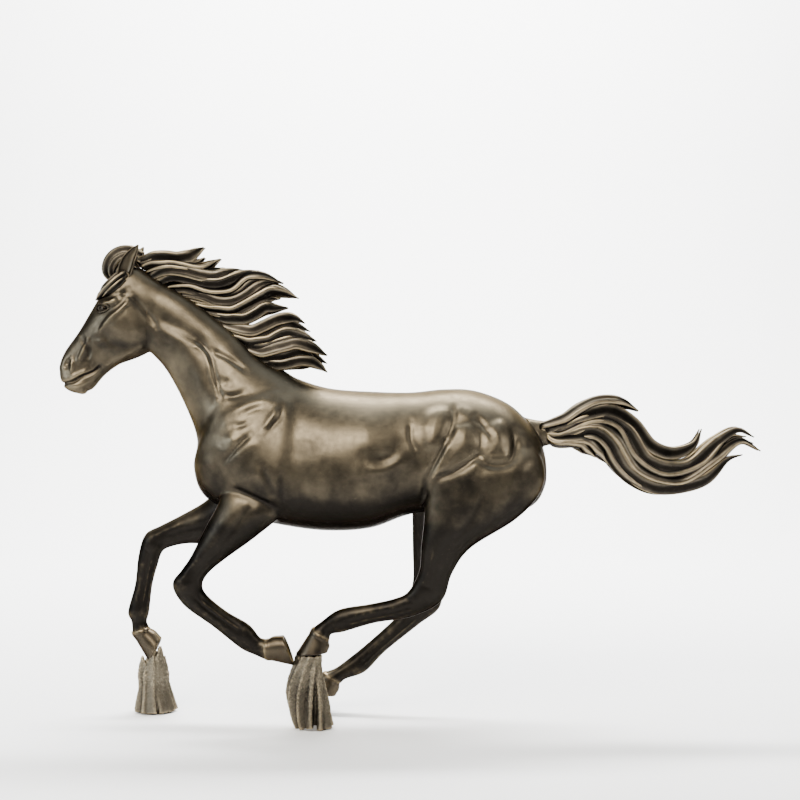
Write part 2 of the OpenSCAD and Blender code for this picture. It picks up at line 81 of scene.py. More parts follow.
def toFrame(p):
    # drawing millimetres to metres in the shared frame
    return np.asarray(p, float) * unit + middle


# small mesh tools

def makeMesh(name, verts, faces):
    mesh = bpy.data.meshes.new(name)
    mesh.from_pydata([tuple(v) for v in verts], [], [tuple(f) for f in faces])
    mesh.update()
    obj = bpy.data.objects.new(name, mesh)
    bpy.context.scene.collection.objects.link(obj)
    return obj


def getVerts(obj):
    a = np.empty(len(obj.data.vertices) * 3)
    obj.data.vertices.foreach_get("co", a)
    return a.reshape(-1, 3)


def setVerts(obj, v):
    obj.data.vertices.foreach_set("co", np.ascontiguousarray(v, float).ravel())
    obj.data.update()


def getNormals(obj):
    a = np.empty(len(obj.data.vertices) * 3)
    obj.data.vertices.foreach_get("normal", a)
    return a.reshape(-1, 3)


def getEdges(obj):
    a = np.empty(len(obj.data.edges) * 2, np.int32)
    obj.data.edges.foreach_get("vertices", a)
    return a.reshape(-1, 2)


def neighbourMean(v, edges, count):
    out = np.empty_like(v)
    for k in range(v.shape[1]):
        out[:, k] = (np.bincount(edges[:, 0], v[edges[:, 1], k], len(v))
                     + np.bincount(edges[:, 1], v[edges[:, 0], k], len(v))) / count
    return out


def smoothVerts(obj, rounds, amount=0.5, weight=None):
    v = getVerts(obj)
    e = getEdges(obj)
    count = np.maximum(np.bincount(e.ravel(), minlength=len(v)), 1)
    w = amount if weight is None else amount * weight[:, None]
    for _ in range(rounds):
        v += (neighbourMean(v, e, count) - v) * w
    setVerts(obj, v)


def smoothField(obj, field, rounds):
    e = getEdges(obj)
    f = field.reshape(len(field), -1).astype(float)
    count = np.maximum(np.bincount(e.ravel(), minlength=len(f)), 1)
    for _ in range(rounds):
        f = 0.5 * f + 0.5 * neighbourMean(f, e, count)
    return f.reshape(field.shape)


def remesh(obj, size):
    mod = obj.modifiers.new("remesh", "REMESH")
    mod.mode = "VOXEL"
    mod.voxel_size = size
    mod.use_smooth_shade = True
    applyAll(obj)


def applyAll(obj):
    graph = bpy.context.evaluated_depsgraph_get()
    graph.update()
    fresh = bpy.data.meshes.new_from_object(obj.evaluated_get(graph))
    old = obj.data
    obj.modifiers.clear()
    obj.data = fresh
    bpy.data.meshes.remove(old)


def joinAll(name, objs):
    verts, faces, base = [], [], 0
    for o in objs:
        v = getVerts(o)
        verts.append(v)
        faces += [[base + i for i in p.vertices] for p in o.data.polygons]
        base += len(v)
        bpy.data.objects.remove(o)
    return makeMesh(name, np.vstack(verts), faces)


def smoothLine(rows, perStep):
    # passes a smooth curve through the given rows
    p = np.asarray(rows, float)
    n = len(p)
    padded = np.vstack([2 * p[0] - p[1], p, 2 * p[-1] - p[-2]])
    out = []
    for i in range(n - 1):
        a, b, c, d = padded[i:i + 4]
        for s in np.arange(perStep) / perStep:
            out.append(0.5 * (2 * b + (c - a) * s + (2 * a - 5 * b + 4 * c - d) * s * s
                              + (3 * b - a - 3 * c + d) * s ** 3))
    out.append(p[-1])
    return np.array(out)


def ringFaces(rings, around):
    # quads between stacked rings of points, closed at both ends
    faces = []
    for i in range(rings - 1):
        for j in range(around):
            k = (j + 1) % around
            faces.append([i * around + j, i * around + k, (i + 1) * around + k, (i + 1) * around + j])
    faces.append(list(range(around))[::-1])
    faces.append(list(range((rings - 1) * around, rings * around)))
    return faces


def loftSections(name, rows, around, perStep):
    # row: upper/front x z, lower/rear x z, side place, half width, egg, fullness
    s = smoothLine(rows, perStep)
    a = np.arange(around) / around * 2 * math.pi
    verts = []
    for r in s:
        q = 2.0 / max(r[7], 1.2)
        c = np.sign(np.cos(a)) * np.abs(np.cos(a)) ** q
        w = np.sign(np.sin(a)) * np.abs(np.sin(a)) ** q
        mx, mz = (r[0] + r[2]) / 2, (r[1] + r[3]) / 2
        hx, hz = (r[0] - r[2]) / 2, (r[1] - r[3]) / 2
        verts.append(np.c_[mx + hx * c, r[4] + r[5] * w * (1 - r[6] * c), mz + hz * c])
    obj = makeMesh(name, toFrame(np.vstack(verts)), ringFaces(len(s), around))
    faceOut(obj)
    return obj


def faceOut(obj):
    bm = bmesh.new()
    bm.from_mesh(obj.data)
    bmesh.ops.recalc_face_normals(bm, faces=bm.faces)
    bm.to_mesh(obj.data)
    bm.free()


# camera, floor and light

viewSetup = {"lens": 65.0, "distance": 6.5, "height": 1.6, "side": -0.045, "shift": -0.045}

camData = bpy.data.cameras.new("viewCamera")
camData.lens = viewSetup["lens"]
camData.sensor_width = 36.0
camData.shift_y = viewSetup["shift"]
cam = bpy.data.objects.new("viewCamera", camData)
cam.location = (viewSetup["side"], -viewSetup["distance"], viewSetup["height"])
cam.rotation_euler = (math.radians(90), 0, 0)
bpy.context.scene.collection.objects.link(cam)
bpy.context.scene.camera = cam


def plainMaterial(name, color, rough):
    mat = bpy.data.materials.new(name)
    mat.use_nodes = True
    shader = mat.node_tree.nodes["Principled BSDF"]
    shader.inputs["Base Color"].default_value = (*color, 1)
    shader.inputs["Roughness"].default_value = rough
    return mat


floorSetup = {"reach": 14.0, "back": 9.0, "bend": 4.0, "rise": 12.0}


def makeFloor():
    s = floorSetup
    profile = [(-16.0, 0.0), (s["back"] - s["bend"], 0.0)]
    for i in range(1, 13):
        t = math.radians(90 * i / 12)
        profile.append((s["back"] - s["bend"] + s["bend"] * math.sin(t), s["bend"] * (1 - math.cos(t))))
    profile.append((s["back"], s["rise"]))
    verts, faces = [], []
    for y, z in profile:
        verts += [(-s["reach"], y, z), (s["reach"], y, z)]
    for i in range(len(profile) - 1):
        faces.append([2 * i, 2 * i + 1, 2 * i + 3, 2 * i + 2])
    floor = makeMesh("studioFloor", verts, faces)
    for p in floor.data.polygons:
        p.use_smooth = True
    floor.data.materials.append(plainMaterial("paleFloor", (0.93, 0.93, 0.925), 0.9))


makeFloor()

world = bpy.data.worlds.new("studioWorld")
bpy.context.scene.world = world
world.use_nodes = True
world.node_tree.nodes["Background"].inputs["Color"].default_value = (0.80, 0.86, 0.95, 1)
world.node_tree.nodes["Background"].inputs["Strength"].default_value = 0.18


def areaLight(name, place, aim, size, power, color):
    data = bpy.data.lights.new(name, "AREA")
    data.shape = "RECTANGLE"
    data.size, data.size_y = size
    data.energy = power
    data.color = color
    light = bpy.data.objects.new(name, data)
    light.location = place
    light.rotation_euler = (Vector(aim) - Vector(place)).to_track_quat("-Z", "Y").to_euler()
    bpy.context.scene.collection.objects.link(light)


lights = {
    "skyPanel": ((0.3, 0.8, 6.5), (0, 0, 1.0), (7.0, 4.0), 170, (0.74, 0.87, 1.0)),
    "keyPanel": ((-2.2, -5.4, 5.6), (0, 0, 1.2), (5.4, 3.0), 900, (1.0, 0.94, 0.83)),
    "facePanel": ((-6.0, -3.0, 2.4), (-1.2, 0, 1.6), (1.8, 1.8), 150, (0.80, 0.90, 1.0)),
    "sidePanel": ((4.6, -3.2, 3.4), (0.2, 0, 1.1), (2.0, 2.0), 110, (1.0, 0.97, 0.92)),
    "backdropPanel": ((0.0, 3.2, 8.5), (0, 8.6, 2.4), (9.0, 2.0), 5200, (1.0, 1.0, 1.0)),
}
for name, setting in lights.items():
    areaLight(name, *setting)
print("camera, floor and lights are in")


# bronze finishes: dark patina in the hollows, painted shade on the undersides and lower down, rubbed metal
# where it stands out
# in each finish, sink sets how much painted shade darkens the lower parts
skinFinish = {"hollow": (0.009, 0.007, 0.005), "dark": (0.013, 0.0115, 0.010),
              "brown": (0.126, 0.103, 0.069),
              "rubbed": (0.50, 0.39, 0.23), "rough": (0.34, 0.45), "sink": 0.36, "bump": 0.05,
              "speck": 320.0, "fleck": 0.08}
hairFinish = {"hollow": (0.006, 0.005, 0.004), "dark": (0.014, 0.0125, 0.011),
              "brown": (0.118, 0.100, 0.074),
              "rubbed": (0.54, 0.42, 0.24), "rough": (0.27, 0.42), "sink": 0.1, "bump": 0.10,
              "speck": 420.0, "fleck": 0.10}
supportFinish = {"hollow": (0.010, 0.008, 0.006), "dark": (0.052, 0.045, 0.034),
                 "brown": (0.20, 0.172, 0.124),
                 "rubbed": (0.50, 0.40, 0.25), "rough": (0.36, 0.56), "sink": 0.0, "bump": 0.25,
                 "speck": 260.0, "fleck": 0.45}
hoofFinish = {"hollow": (0.006, 0.005, 0.004), "dark": (0.030, 0.025, 0.019), "brown": (0.13, 0.102, 0.066),
              "rubbed": (0.50, 0.37, 0.20), "rough": (0.28, 0.42), "sink": 0.1, "bump": 0.08,
              "speck": 300.0, "fleck": 0.12}
eyeFinish = {"hollow": (0.003, 0.003, 0.003), "dark": (0.012, 0.010, 0.008), "brown": (0.035, 0.027, 0.018),
             "rubbed": (0.20, 0.15, 0.09), "rough": (0.14, 0.22), "sink": 0.0, "bump": 0.02, "speck": 380.0,
             "fleck": 0.05}
innerFinish = {"hollow": (0.05, 0.038, 0.022), "dark": (0.10, 0.075, 0.045), "brown": (0.20, 0.15, 0.085),
               "rubbed": (0.34, 0.26, 0.15), "rough": (0.45, 0.70), "sink": 0.0, "bump": 0.35,
               "speck": 180.0, "fleck": 0.3}
steelFinish = {"hollow": (0.16, 0.15, 0.14), "dark": (0.26, 0.25, 0.24), "brown": (0.36, 0.35, 0.34),
               "rubbed": (0.55, 0.55, 0.55), "rough": (0.32, 0.55), "sink": 0.0, "bump": 0.15,
               "speck": 140.0, "fleck": 0.2}


def bronzeMaterial(name, finish, strands=False, shaped=True):
    mat = bpy.data.materials.new(name)
    mat.use_nodes = True
    tree = mat.node_tree
    nodes, links = tree.nodes, tree.links
    shader = nodes["Principled BSDF"]
    shader.inputs["Metallic"].default_value = 1.0
    shader.inputs["Specular Tint"].default_value = (0.36, 0.35, 0.34, 1)

    def add(kind, **settings):
        node = nodes.new(kind)
        for key, value in settings.items():
            setattr(node, key, value)
        return node

    def noise(scale, detail, source):
        node = add("ShaderNodeTexNoise")
        node.inputs["Scale"].default_value = scale
        node.inputs["Detail"].default_value = detail
        links.new(source, node.inputs["Vector"])
        return node.outputs["Fac"]

    def maths(operation, a, b, clamp=False):
        node = add("ShaderNodeMath", operation=operation, use_clamp=clamp)
        for socket, value in zip(node.inputs, (a, b)):
            if isinstance(value, (int, float)):
                socket.default_value = value
            else:
                links.new(value, socket)
        return node.outputs[0]

    def spread(value, a, b, c, d):
        node = add("ShaderNodeMapRange", interpolation_type="SMOOTHSTEP")
        links.new(value, node.inputs["Value"])
        for socket, number in zip(("From Min", "From Max", "To Min", "To Max"), (a, b, c, d)):
            node.inputs[socket].default_value = number
        return node.outputs["Result"]

    def mix(amount, a, b):
        node = add("ShaderNodeMix", data_type="RGBA")
        links.new(amount, node.inputs["Factor"])
        for socket, value in ((node.inputs["A"], a), (node.inputs["B"], b)):
            if isinstance(value, tuple):
                socket.default_value = (*value, 1)
            else:
                links.new(value, socket)
        return node.outputs["Result"]

    place = add("ShaderNodeTexCoord").outputs["Object"]
    cloud = noise(7.0, 5.0, place)
    mottle = noise(38.0, 6.0, place)
    speck = noise(finish["speck"], 3.0, place)
    if shaped:
        stand = add("ShaderNodeAttribute", attribute_name="relief").outputs["Fac"]
        # skyward is the normal's upward share, used to paint shade on the undersides
        sky = add("ShaderNodeAttribute", attribute_name="skyward").outputs["Fac"]
    else:
        stand = spread(mottle, 0.3, 0.7, -0.4, 0.4)
        sky = spread(cloud, 0.3, 0.7, -0.2, 0.6)
    # painted shade: the brown tone lightens on upward-facing surfaces and darkens on the undersides, mixed
    # with the cloudy patina
    tone = maths("ADD", maths("MULTIPLY", sky, 0.24), maths("MULTIPLY", cloud, 0.80))
    tone = maths("ADD", tone, maths("MULTIPLY", stand, 0.25))
    # painted shade: darker towards the bottom, on the legs and belly; sink sets how much
    split = add("ShaderNodeSeparateXYZ")
    links.new(place, split.inputs["Vector"])
    tone = maths("ADD", tone, spread(split.outputs["Z"], 0.70, 1.30, -finish["sink"], 0.06))
    color = mix(spread(tone, 0.10, 0.78, 0.0, 1.0), finish["dark"], finish["brown"])
    worn = maths("ADD", stand, maths("MULTIPLY", maths("SUBTRACT", mottle, 0.5), 0.4))
    color = mix(spread(worn, 0.15, 1.05, 0.0, 0.75), color, finish["rubbed"])
    pooled = maths("ADD", stand, maths("MULTIPLY", maths("SUBTRACT", cloud, 0.5), 0.5))
    color = mix(spread(pooled, -0.15, -0.95, 0.0, 0.85), color, finish["hollow"])
    fleck = spread(speck, 0.66, 0.78, 0.0, finish["fleck"])
    color = mix(fleck, color, finish["rubbed"])
    links.new(color, shader.inputs["Base Color"])
    gloss = maths("ADD", maths("MULTIPLY", mottle, 0.7), maths("MULTIPLY", speck, 0.3))
    links.new(spread(gloss, 0.3, 0.7, *finish["rough"]), shader.inputs["Roughness"])
    height = maths("ADD", maths("MULTIPLY", speck, 0.5), maths("MULTIPLY", mottle, 0.8))
    if strands:
        around = add("ShaderNodeAttribute", attribute_name="strand").outputs["Fac"]
        along = add("ShaderNodeAttribute", attribute_name="along").outputs["Fac"]
        join = add("ShaderNodeCombineXYZ")
        links.new(maths("MULTIPLY", around, 26.0), join.inputs["X"])
        links.new(maths("MULTIPLY", along, 9.0), join.inputs["Y"])
        fibre = noise(1.6, 5.0, join.outputs["Vector"])
        height = maths("ADD", height, maths("MULTIPLY", fibre, 3.0))
    bump = add("ShaderNodeBump")
    bump.inputs["Strength"].default_value = finish["bump"]
    bump.inputs["Distance"].default_value = 0.004
    links.new(height, bump.inputs["Height"])
    links.new(bump.outputs["Normal"], shader.inputs["Normal"])
    return mat


darkBronze = bronzeMaterial("patinatedBronze", skinFinish)
hairBronze = bronzeMaterial("groovedHairBronze", hairFinish, strands=True)
hoofBronze = bronzeMaterial("hoofBronze", hoofFinish)
eyeBronze = bronzeMaterial("polishedEyeBronze", eyeFinish)
roughBronze = bronzeMaterial("granularSupportBronze", supportFinish)
innerBronze = bronzeMaterial("rawInnerBronze", innerFinish, shaped=False)
armatureSteel = bronzeMaterial("armatureSteel", steelFinish, shaped=False)
print("finishes ready")

# stations of the horse, the same ones the castings are built on, in drawing millimetres
# trunk and head: back x z, belly x z, half width, narrowing at the top
trunkStations = [
    [604, 1190, 611, 1112, 42, 0], [588, 1242, 602, 1048, 105, 0], [540, 1325, 552, 970, 184, 0.01],
    [440, 1420, 415, 912, 236, 0.02], [290, 1478, 225, 904, 260, 0.04], [150, 1484, 85, 938, 258, 0.06],
    [0, 1470, -22, 922, 252, 0.09], [-180, 1474, -180, 867, 279, 0.12], [-360, 1488, -375, 856, 282, 0.17],
    [-500, 1530, -575, 881, 262, 0.22], [-570, 1570, -768, 929, 235, 0.21],
    [-640, 1607, -918, 1008, 203, 0.18], [-692, 1647, -966, 1132, 170, 0.18],
    [-742, 1699, -952, 1258, 136, 0.16], [-846, 1796, -1008, 1415, 104, 0.13],
    [-974, 1888, -1092, 1572, 90, 0.08], [-1170, 1996, -1174, 1664, 81, 0],
]
loinSeam, girthSeam, neckSeam, pollSeam = 6, 9, 13, 16

headStations = [
    [-1120, 1970, -1150, 1666, 78, 0], [-1246, 2042, -1178, 1654, 92, 0.02],
    [-1316, 1998, -1196, 1644, 101, -0.04], [-1374, 1930, -1242, 1624, 103, -0.06],
    [-1428, 1840, -1312, 1598, 80, -0.1], [-1488, 1742, -1376, 1550, 58, -0.06],
    [-1552, 1650, -1424, 1494, 51, 0.02], [-1576, 1576, -1462, 1466, 49, 0.04],
    [-1562, 1517, -1494, 1470, 38, 0], [-1551, 1494, -1520, 1476, 20, 0],
]

# what the left and the right leg share at each station: depth, half width, side place
foreGirth = [
    [255, 50, 110], [268, 80, 150], [215, 72, 160], [138, 52, 160], [110, 44, 160], [118, 46, 160],
    [100, 37, 160], [81, 29, 160], [99, 37, 160], [70, 32, 160], [86, 43, 160], [131, 57, 160],
]
hindGirth = [
    [360, 70, 120], [525, 112, 158], [512, 118, 172], [400, 98, 184], [215, 68, 186], [142, 47, 178],
    [150, 42, 168], [107, 34, 161], [82, 29, 157], [96, 36, 152], [66, 33, 150], [95, 42, 150],
    [143, 57, 150],
]

# how each leg is held: middle x z of every station, tilt of its front edge in degrees
legs = {
    "leftFore": {"node": "left_fore", "girth": foreGirth, "side": -1, "size": 1.07, "joint": 5,
                 "coronet": 10, "pose": [
        [-682, 1112, 10], [-690, 988, 10], [-782, 868, 8], [-886, 752, 4], [-944, 690, 4], [-978, 632, 0],
        [-942, 563, -22], [-835, 481, -46], [-728, 406, -71], [-670, 361, -74], [-628, 347, -95],
        [-532, 345, -111]]},
    "rightFore": {"node": "right_fore", "girth": foreGirth, "side": 1, "size": 0.94, "joint": 5,
                  "coronet": 10, "pose": [
        [-722, 1115, 20], [-780, 962, 40], [-898, 876, 66], [-1040, 838, 78], [-1134, 803, 72],
        [-1182, 771, 50], [-1206, 697, 24], [-1226, 585, 2], [-1250, 460, 0], [-1248, 416, 4],
        [-1238, 366, -30], [-1170, 280, -65]]},
    "leftHind": {"node": "left_hind", "girth": hindGirth, "side": -1, "size": 1.0, "joint": 6,
                 "coronet": 11, "pose": [
        [307, 1310, 0], [318, 1170, 0], [315, 1045, 0], [262, 925, 0], [157, 800, 0], [112, 690, 2],
        [64, 582, 14], [-33, 531, 44], [-165, 505, 76], [-300, 473, 79], [-370, 440, 52], [-396, 405, 32],
        [-432, 328, -5]]},
    "rightHind": {"node": "right_hind", "girth": hindGirth, "side": 1, "size": 1.0, "joint": 6,
                  "coronet": 11, "pose": [
        [277, 1295, 0], [287, 1150, 0], [270, 1018, 0], [214, 890, 0], [123, 742, 0], [88, 600, 3],
        [63, 490, 9], [-12, 415, 16], [-150, 298, 30], [-246, 212, 31], [-320, 175, 40], [-362, 153, 28],
        [-410, 85, 8]]},
}

# how square the sections are: 2 is an ellipse
fullness = {"trunk": 2.1, "head": 2.3, "leg": 2.15}


def legPoint(leg, station, across, along=0.0):
    # a place on the leg's side view: across is -1 at the front edge and 1 at the rear edge
    k = min(station + along, len(leg["pose"]) - 1)
    i = min(int(k), len(leg["pose"]) - 2)
    f = k - i
    a, b = (np.array(leg["pose"][j], float) for j in (i, i + 1))
    x, z, tilt = a + (b - a) * f
    half = (leg["girth"][i][0] * (1 - f) + leg["girth"][i + 1][0] * f) * leg["size"] / 2 * across
    return (x + half * math.cos(math.radians(tilt)), z - half * math.sin(math.radians(tilt)))


def legRows(leg, last):
    rows = []
    for i in range(last + 1):
        front, rear = legPoint(leg, i, -1), legPoint(leg, i, 1)
        g = leg["girth"][i]
        rows.append([*front, *rear, leg["side"] * g[2], g[1], 0, fullness["leg"]])
    return rows


def withFullness(rows, square):
    return [[*r[:4], 0, *r[4:6], square] for r in rows]


# clay tools
# a mark is (name, tool, height mm, width mm, points x z) on the horse seen from its side

def fromLine(p, line):
    # distance to a line of points, and which side of it a point is on
    best = np.full(len(p), 1e9)
    turn = np.zeros(len(p))
    for a, b in zip(line[:-1], line[1:]):
        d = b - a
        size = max(float(d @ d), 1e-9)
        t = np.clip(((p - a) @ d) / size, 0, 1)
        off = p - (a + t[:, None] * d)
        dist = np.hypot(off[:, 0], off[:, 1])
        nearer = dist < best
        best[nearer] = dist[nearer]
        turn[nearer] = np.sign(d[0] * off[:, 1] - d[1] * off[:, 0])[nearer]
    return best, turn


def inOutline(p, line):
    inside = np.zeros(len(p), bool)
    for a, b in zip(line, np.roll(line, -1, axis=0)):
        crosses = (a[1] > p[:, 1]) != (b[1] > p[:, 1])
        rise = b[1] - a[1] if abs(b[1] - a[1]) >= 1e-9 else 1e-9
        along = a[0] + (p[:, 1] - a[1]) / rise * (b[0] - a[0])
        inside ^= crosses & (p[:, 0] < along)
    return inside


def easeStep(x):
    x = np.clip(x, 0, 1)
    return x * x * (3 - 2 * x)


def sculpt(obj, marks, side, allowed=None, strength=1.0, soft=1.0, wrap=False):
    v = getVerts(obj)
    n = getNormals(obj)
    flat = ((v - middle) / unit)[:, [0, 2]]
    # a wrapping mark runs round to the middle line, the others stay on the side
    facing = (v[:, 1] * side >= 0) * 1.0 if wrap else easeStep((n[:, 1] * side - 0.02) / 0.38)
    if allowed is not None:
        facing = facing * allowed
    total = np.zeros(len(v))
    for name, tool, height, wide, points in marks:
        line = np.array(points, float)
        width = wide * soft
        reach = width * 4.5 + 5
        near = (flat > line.min(0) - reach).all(1) & (flat < line.max(0) + reach).all(1) & (facing > 0)
        if not near.any():
            continue
        p = flat[near]
        if tool == "pad":
            ring = smoothLine(np.vstack([line, line[:1]]), 4)
            dist, _ = fromLine(p, ring)
            inside = inOutline(p, ring)
            depth = np.where(inside, dist, -dist)
            change = height * (0.55 * easeStep((depth + width * 0.5) / (width * 1.8))
                               + 0.75 * easeStep(depth / (width * 3.6)))
        else:
            curve = smoothLine(line, 4) if len(line) > 2 else line
            dist, turn = fromLine(p, curve)
            end = np.minimum(np.hypot(*(p - curve[0]).T), np.hypot(*(p - curve[-1]).T))
            fade = 0.35 + 0.65 * easeStep(end / (2.6 * width))
            if tool == "swell":
                change = fade * height * np.exp(-(dist / (1.3 * width)) ** 2)
            elif tool == "cut":
                change = -0.8 * fade * height * np.exp(-(dist / (1.1 * width)) ** 2)
            else:
                signed = dist * turn
                change = height * (easeStep(signed / (2 * width) + 0.5) - 0.5)
                change *= np.exp(-(dist / (width * 3)) ** 2)
                change *= easeStep(end / (4 * width))
        total[near] += change
    setVerts(obj, v + n * (total * facing * 0.001 * strength)[:, None])


# muscles, hollows and creases of the trunk
trunkMarks = [
    ("shoulder", "pad", 12, 26, [(-880, 1300), (-800, 1420), (-700, 1455), (-560, 1475), (-510, 1410),
                                 (-525, 1240), (-550, 1030), (-600, 985), (-700, 1010), (-800, 1080),
                                 (-870, 1190)]),
    ("shoulder rim", "swell", 7, 15, [(-790, 1360), (-740, 1400), (-680, 1430), (-600, 1445)]),
    ("rim hollow", "cut", 5, 9, [(-735, 1375), (-680, 1400), (-640, 1410)]),
    ("blade hook", "swell", 7, 9, [(-590, 1412), (-588, 1380), (-615, 1340), (-635, 1305)]),
    ("hook hollow", "cut", 7, 9, [(-566, 1405), (-568, 1365), (-598, 1328), (-620, 1298)]),
    ("shoulder edge", "step", -5, 26, [(-515, 1450), (-508, 1320), (-525, 1150), (-545, 1020)]),
    ("point muscle", "swell", 10, 16, [(-742, 1302), (-765, 1275), (-800, 1240)]),
    ("point hollow", "cut", 9, 9, [(-770, 1326), (-735, 1328), (-700, 1345)]),
    ("oblique crease", "cut", 9, 8, [(-690, 1290), (-745, 1240), (-805, 1175)]),
    ("oblique roll", "swell", 6, 14, [(-660, 1275), (-715, 1222), (-760, 1180)]),
    ("lower shoulder", "swell", 15, 44, [(-700, 1190), (-665, 1110), (-640, 1045)]),
    ("arm crease", "cut", 7, 9, [(-640, 1160), (-610, 1090), (-580, 1020)]),
    ("under the shoulder", "cut", 9, 15, [(-800, 1060), (-720, 1035), (-640, 1000), (-570, 960)]),
    ("breast", "swell", 10, 32, [(-900, 1220), (-895, 1100)]),
    ("breast crease", "cut", 7, 12, [(-850, 1205), (-820, 1090)]),
    ("girth fold", "cut", 7, 8, [(-555, 1140), (-560, 1050), (-550, 955)]),
    ("behind the shoulder", "cut", 5, 32, [(-470, 1370), (-492, 1250), (-500, 1110)]),
    ("ribs", "swell", 13, 50, [(-330, 1280), (-200, 1292), (-50, 1325)]),
    ("rib hollow", "cut", 12, 20, [(-190, 1190), (-105, 1192), (-40, 1240)]),
    ("roll under the ribs", "swell", 9, 18, [(-210, 1140), (-110, 1145), (-10, 1208)]),
    ("side hollow", "cut", 8, 22, [(-470, 1232), (-390, 1252)]),
    ("loin line", "cut", 8, 9, [(2, 1345), (4, 1275), (30, 1215)]),
    ("flank roll", "pad", 13, 18, [(40, 1330), (80, 1400), (160, 1410), (165, 1330), (125, 1240),
                                   (60, 1235)]),
    ("flank hollow", "cut", 11, 20, [(40, 1190), (110, 1200)]),
    ("hip groove", "cut", 13, 12, [(186, 1440), (186, 1350), (155, 1270)]),
    ("stifle fold", "cut", 11, 9, [(150, 1262), (108, 1180), (68, 1095), (60, 1000)]),
    ("fold lip", "swell", 5, 7, [(168, 1262), (126, 1178), (84, 1095)]),
    ("hip knob", "swell", 10, 11, [(225, 1392), (246, 1386)]),
    ("front thigh", "pad", 12, 13, [(195, 1335), (260, 1340), (300, 1262), (270, 1195), (180, 1135),
                                    (105, 1095), (85, 1120), (145, 1235)]),
    ("croup groove", "cut", 10, 10, [(282, 1372), (328, 1322), (358, 1272)]),
    ("round thigh", "pad", 13, 14, [(320, 1330), (390, 1360), (440, 1312), (450, 1232), (420, 1182),
                                    (345, 1172), (302, 1212)]),
    ("thigh crescent", "cut", 13, 13, [(300, 1192), (350, 1165), (420, 1170), (456, 1215), (460, 1300)]),
    ("seat", "swell", 9, 26, [(520, 1250), (500, 1155), (400, 1112)]),
    ("thigh bulge", "swell", 10, 20, [(230, 1142), (282, 1162), (312, 1130)]),
    ("thigh crease", "cut", 9, 10, [(100, 1108), (185, 1132), (262, 1180), (292, 1202)]),
    ("stifle knob", "swell", 6, 12, [(100, 1070), (112, 1066)]),
    ("ham line", "cut", 5, 10, [(500, 990), (420, 945), (340, 890)]),
]

neckMarks = [
    ("jaw fold", "cut", 10, 9, [(-1236, 1905), (-1190, 1850), (-1145, 1795), (-1110, 1730), (-1055, 1662)]),
    ("throat cord", "swell", 6, 7, [(-1132, 1760), (-1092, 1708), (-1058, 1655)]),
    ("crest", "swell", 7, 26, [(-1150, 1930), (-1030, 1862), (-920, 1765), (-820, 1680)]),
    ("neck valley", "cut", 12, 20, [(-1150, 1830), (-1060, 1772), (-960, 1712), (-880, 1650)]),
    ("long muscle", "swell", 10, 26, [(-1100, 1775), (-990, 1700), (-915, 1610), (-875, 1500)]),
    ("neck crease", "cut", 11, 8, [(-930, 1700), (-882, 1622), (-858, 1530), (-836, 1445)]),
    ("crease lip", "swell", 7, 6, [(-960, 1690), (-902, 1640), (-872, 1540), (-850, 1480), (-842, 1440)]),
    ("crease under the mane", "cut", 8, 8, [(-880, 1660), (-800, 1620), (-730, 1572)]),
    ("neck root", "swell", 11, 26, [(-800, 1600), (-760, 1545)]),
    ("root hollow", "cut", 10, 10, [(-832, 1522), (-795, 1512)]),
    ("root edge", "cut", 10, 10, [(-825, 1458), (-770, 1460), (-720, 1478)]),
    ("front band", "swell", 7, 22, [(-1015, 1680), (-945, 1560), (-905, 1440)]),
]

headMarks = [
    ("brow", "swell", 15, 10, [(-1372, 1872), (-1332, 1872), (-1290, 1892)]),
    ("eye socket", "cut", 12, 16, [(-1384, 1848), (-1345, 1842)]),
    ("temple hollow", "cut", 9, 12, [(-1290, 1898), (-1252, 1930)]),
    ("temple", "swell", 8, 14, [(-1325, 1925), (-1290, 1942)]),
    ("cheek", "pad", 9, 18, [(-1250, 1895), (-1190, 1830), (-1150, 1760), (-1170, 1690), (-1260, 1690),
                             (-1330, 1715), (-1372, 1765), (-1330, 1830)]),
    ("cheek ridge", "swell", 7, 8, [(-1385, 1738), (-1332, 1800), (-1282, 1842), (-1250, 1880)]),
    ("under the cheek", "cut", 6, 14, [(-1350, 1700), (-1270, 1672), (-1190, 1668)]),
    ("nose ridge", "swell", 8, 7, [(-1482, 1612), (-1458, 1660), (-1436, 1708)]),
    ("nose hollow", "cut", 8, 10, [(-1462, 1712), (-1432, 1660), (-1445, 1615)]),
    ("nose plate", "swell", 6, 11, [(-1400, 1692), (-1362, 1700), (-1352, 1672)]),
    ("nostril", "cut", 20, 10, [(-1538, 1592), (-1528, 1612)]),
    ("nostril rim", "swell", 9, 6, [(-1515, 1562), (-1508, 1590), (-1515, 1622)]),
    ("upper lip", "swell", 6, 8, [(-1525, 1535), (-1485, 1552), (-1440, 1572)]),
    ("lower lip", "swell", 5, 9, [(-1515, 1496), (-1470, 1506), (-1428, 1520)]),
    ("jaw bone", "swell", 6, 9, [(-1370, 1590), (-1272, 1640), (-1182, 1682)]),
]

# these two run right round the muzzle
lipMarks = [
    ("mouth", "cut", 13, 6, [(-1590, 1506), (-1540, 1513), (-1500, 1523), (-1460, 1545), (-1415, 1563),
                             (-1380, 1592)]),
    ("chin groove", "cut", 9, 9, [(-1452, 1455), (-1446, 1480), (-1442, 1502)]),
    ("above the lip", "cut", 5, 12, [(-1600, 1566), (-1560, 1562)]),
]


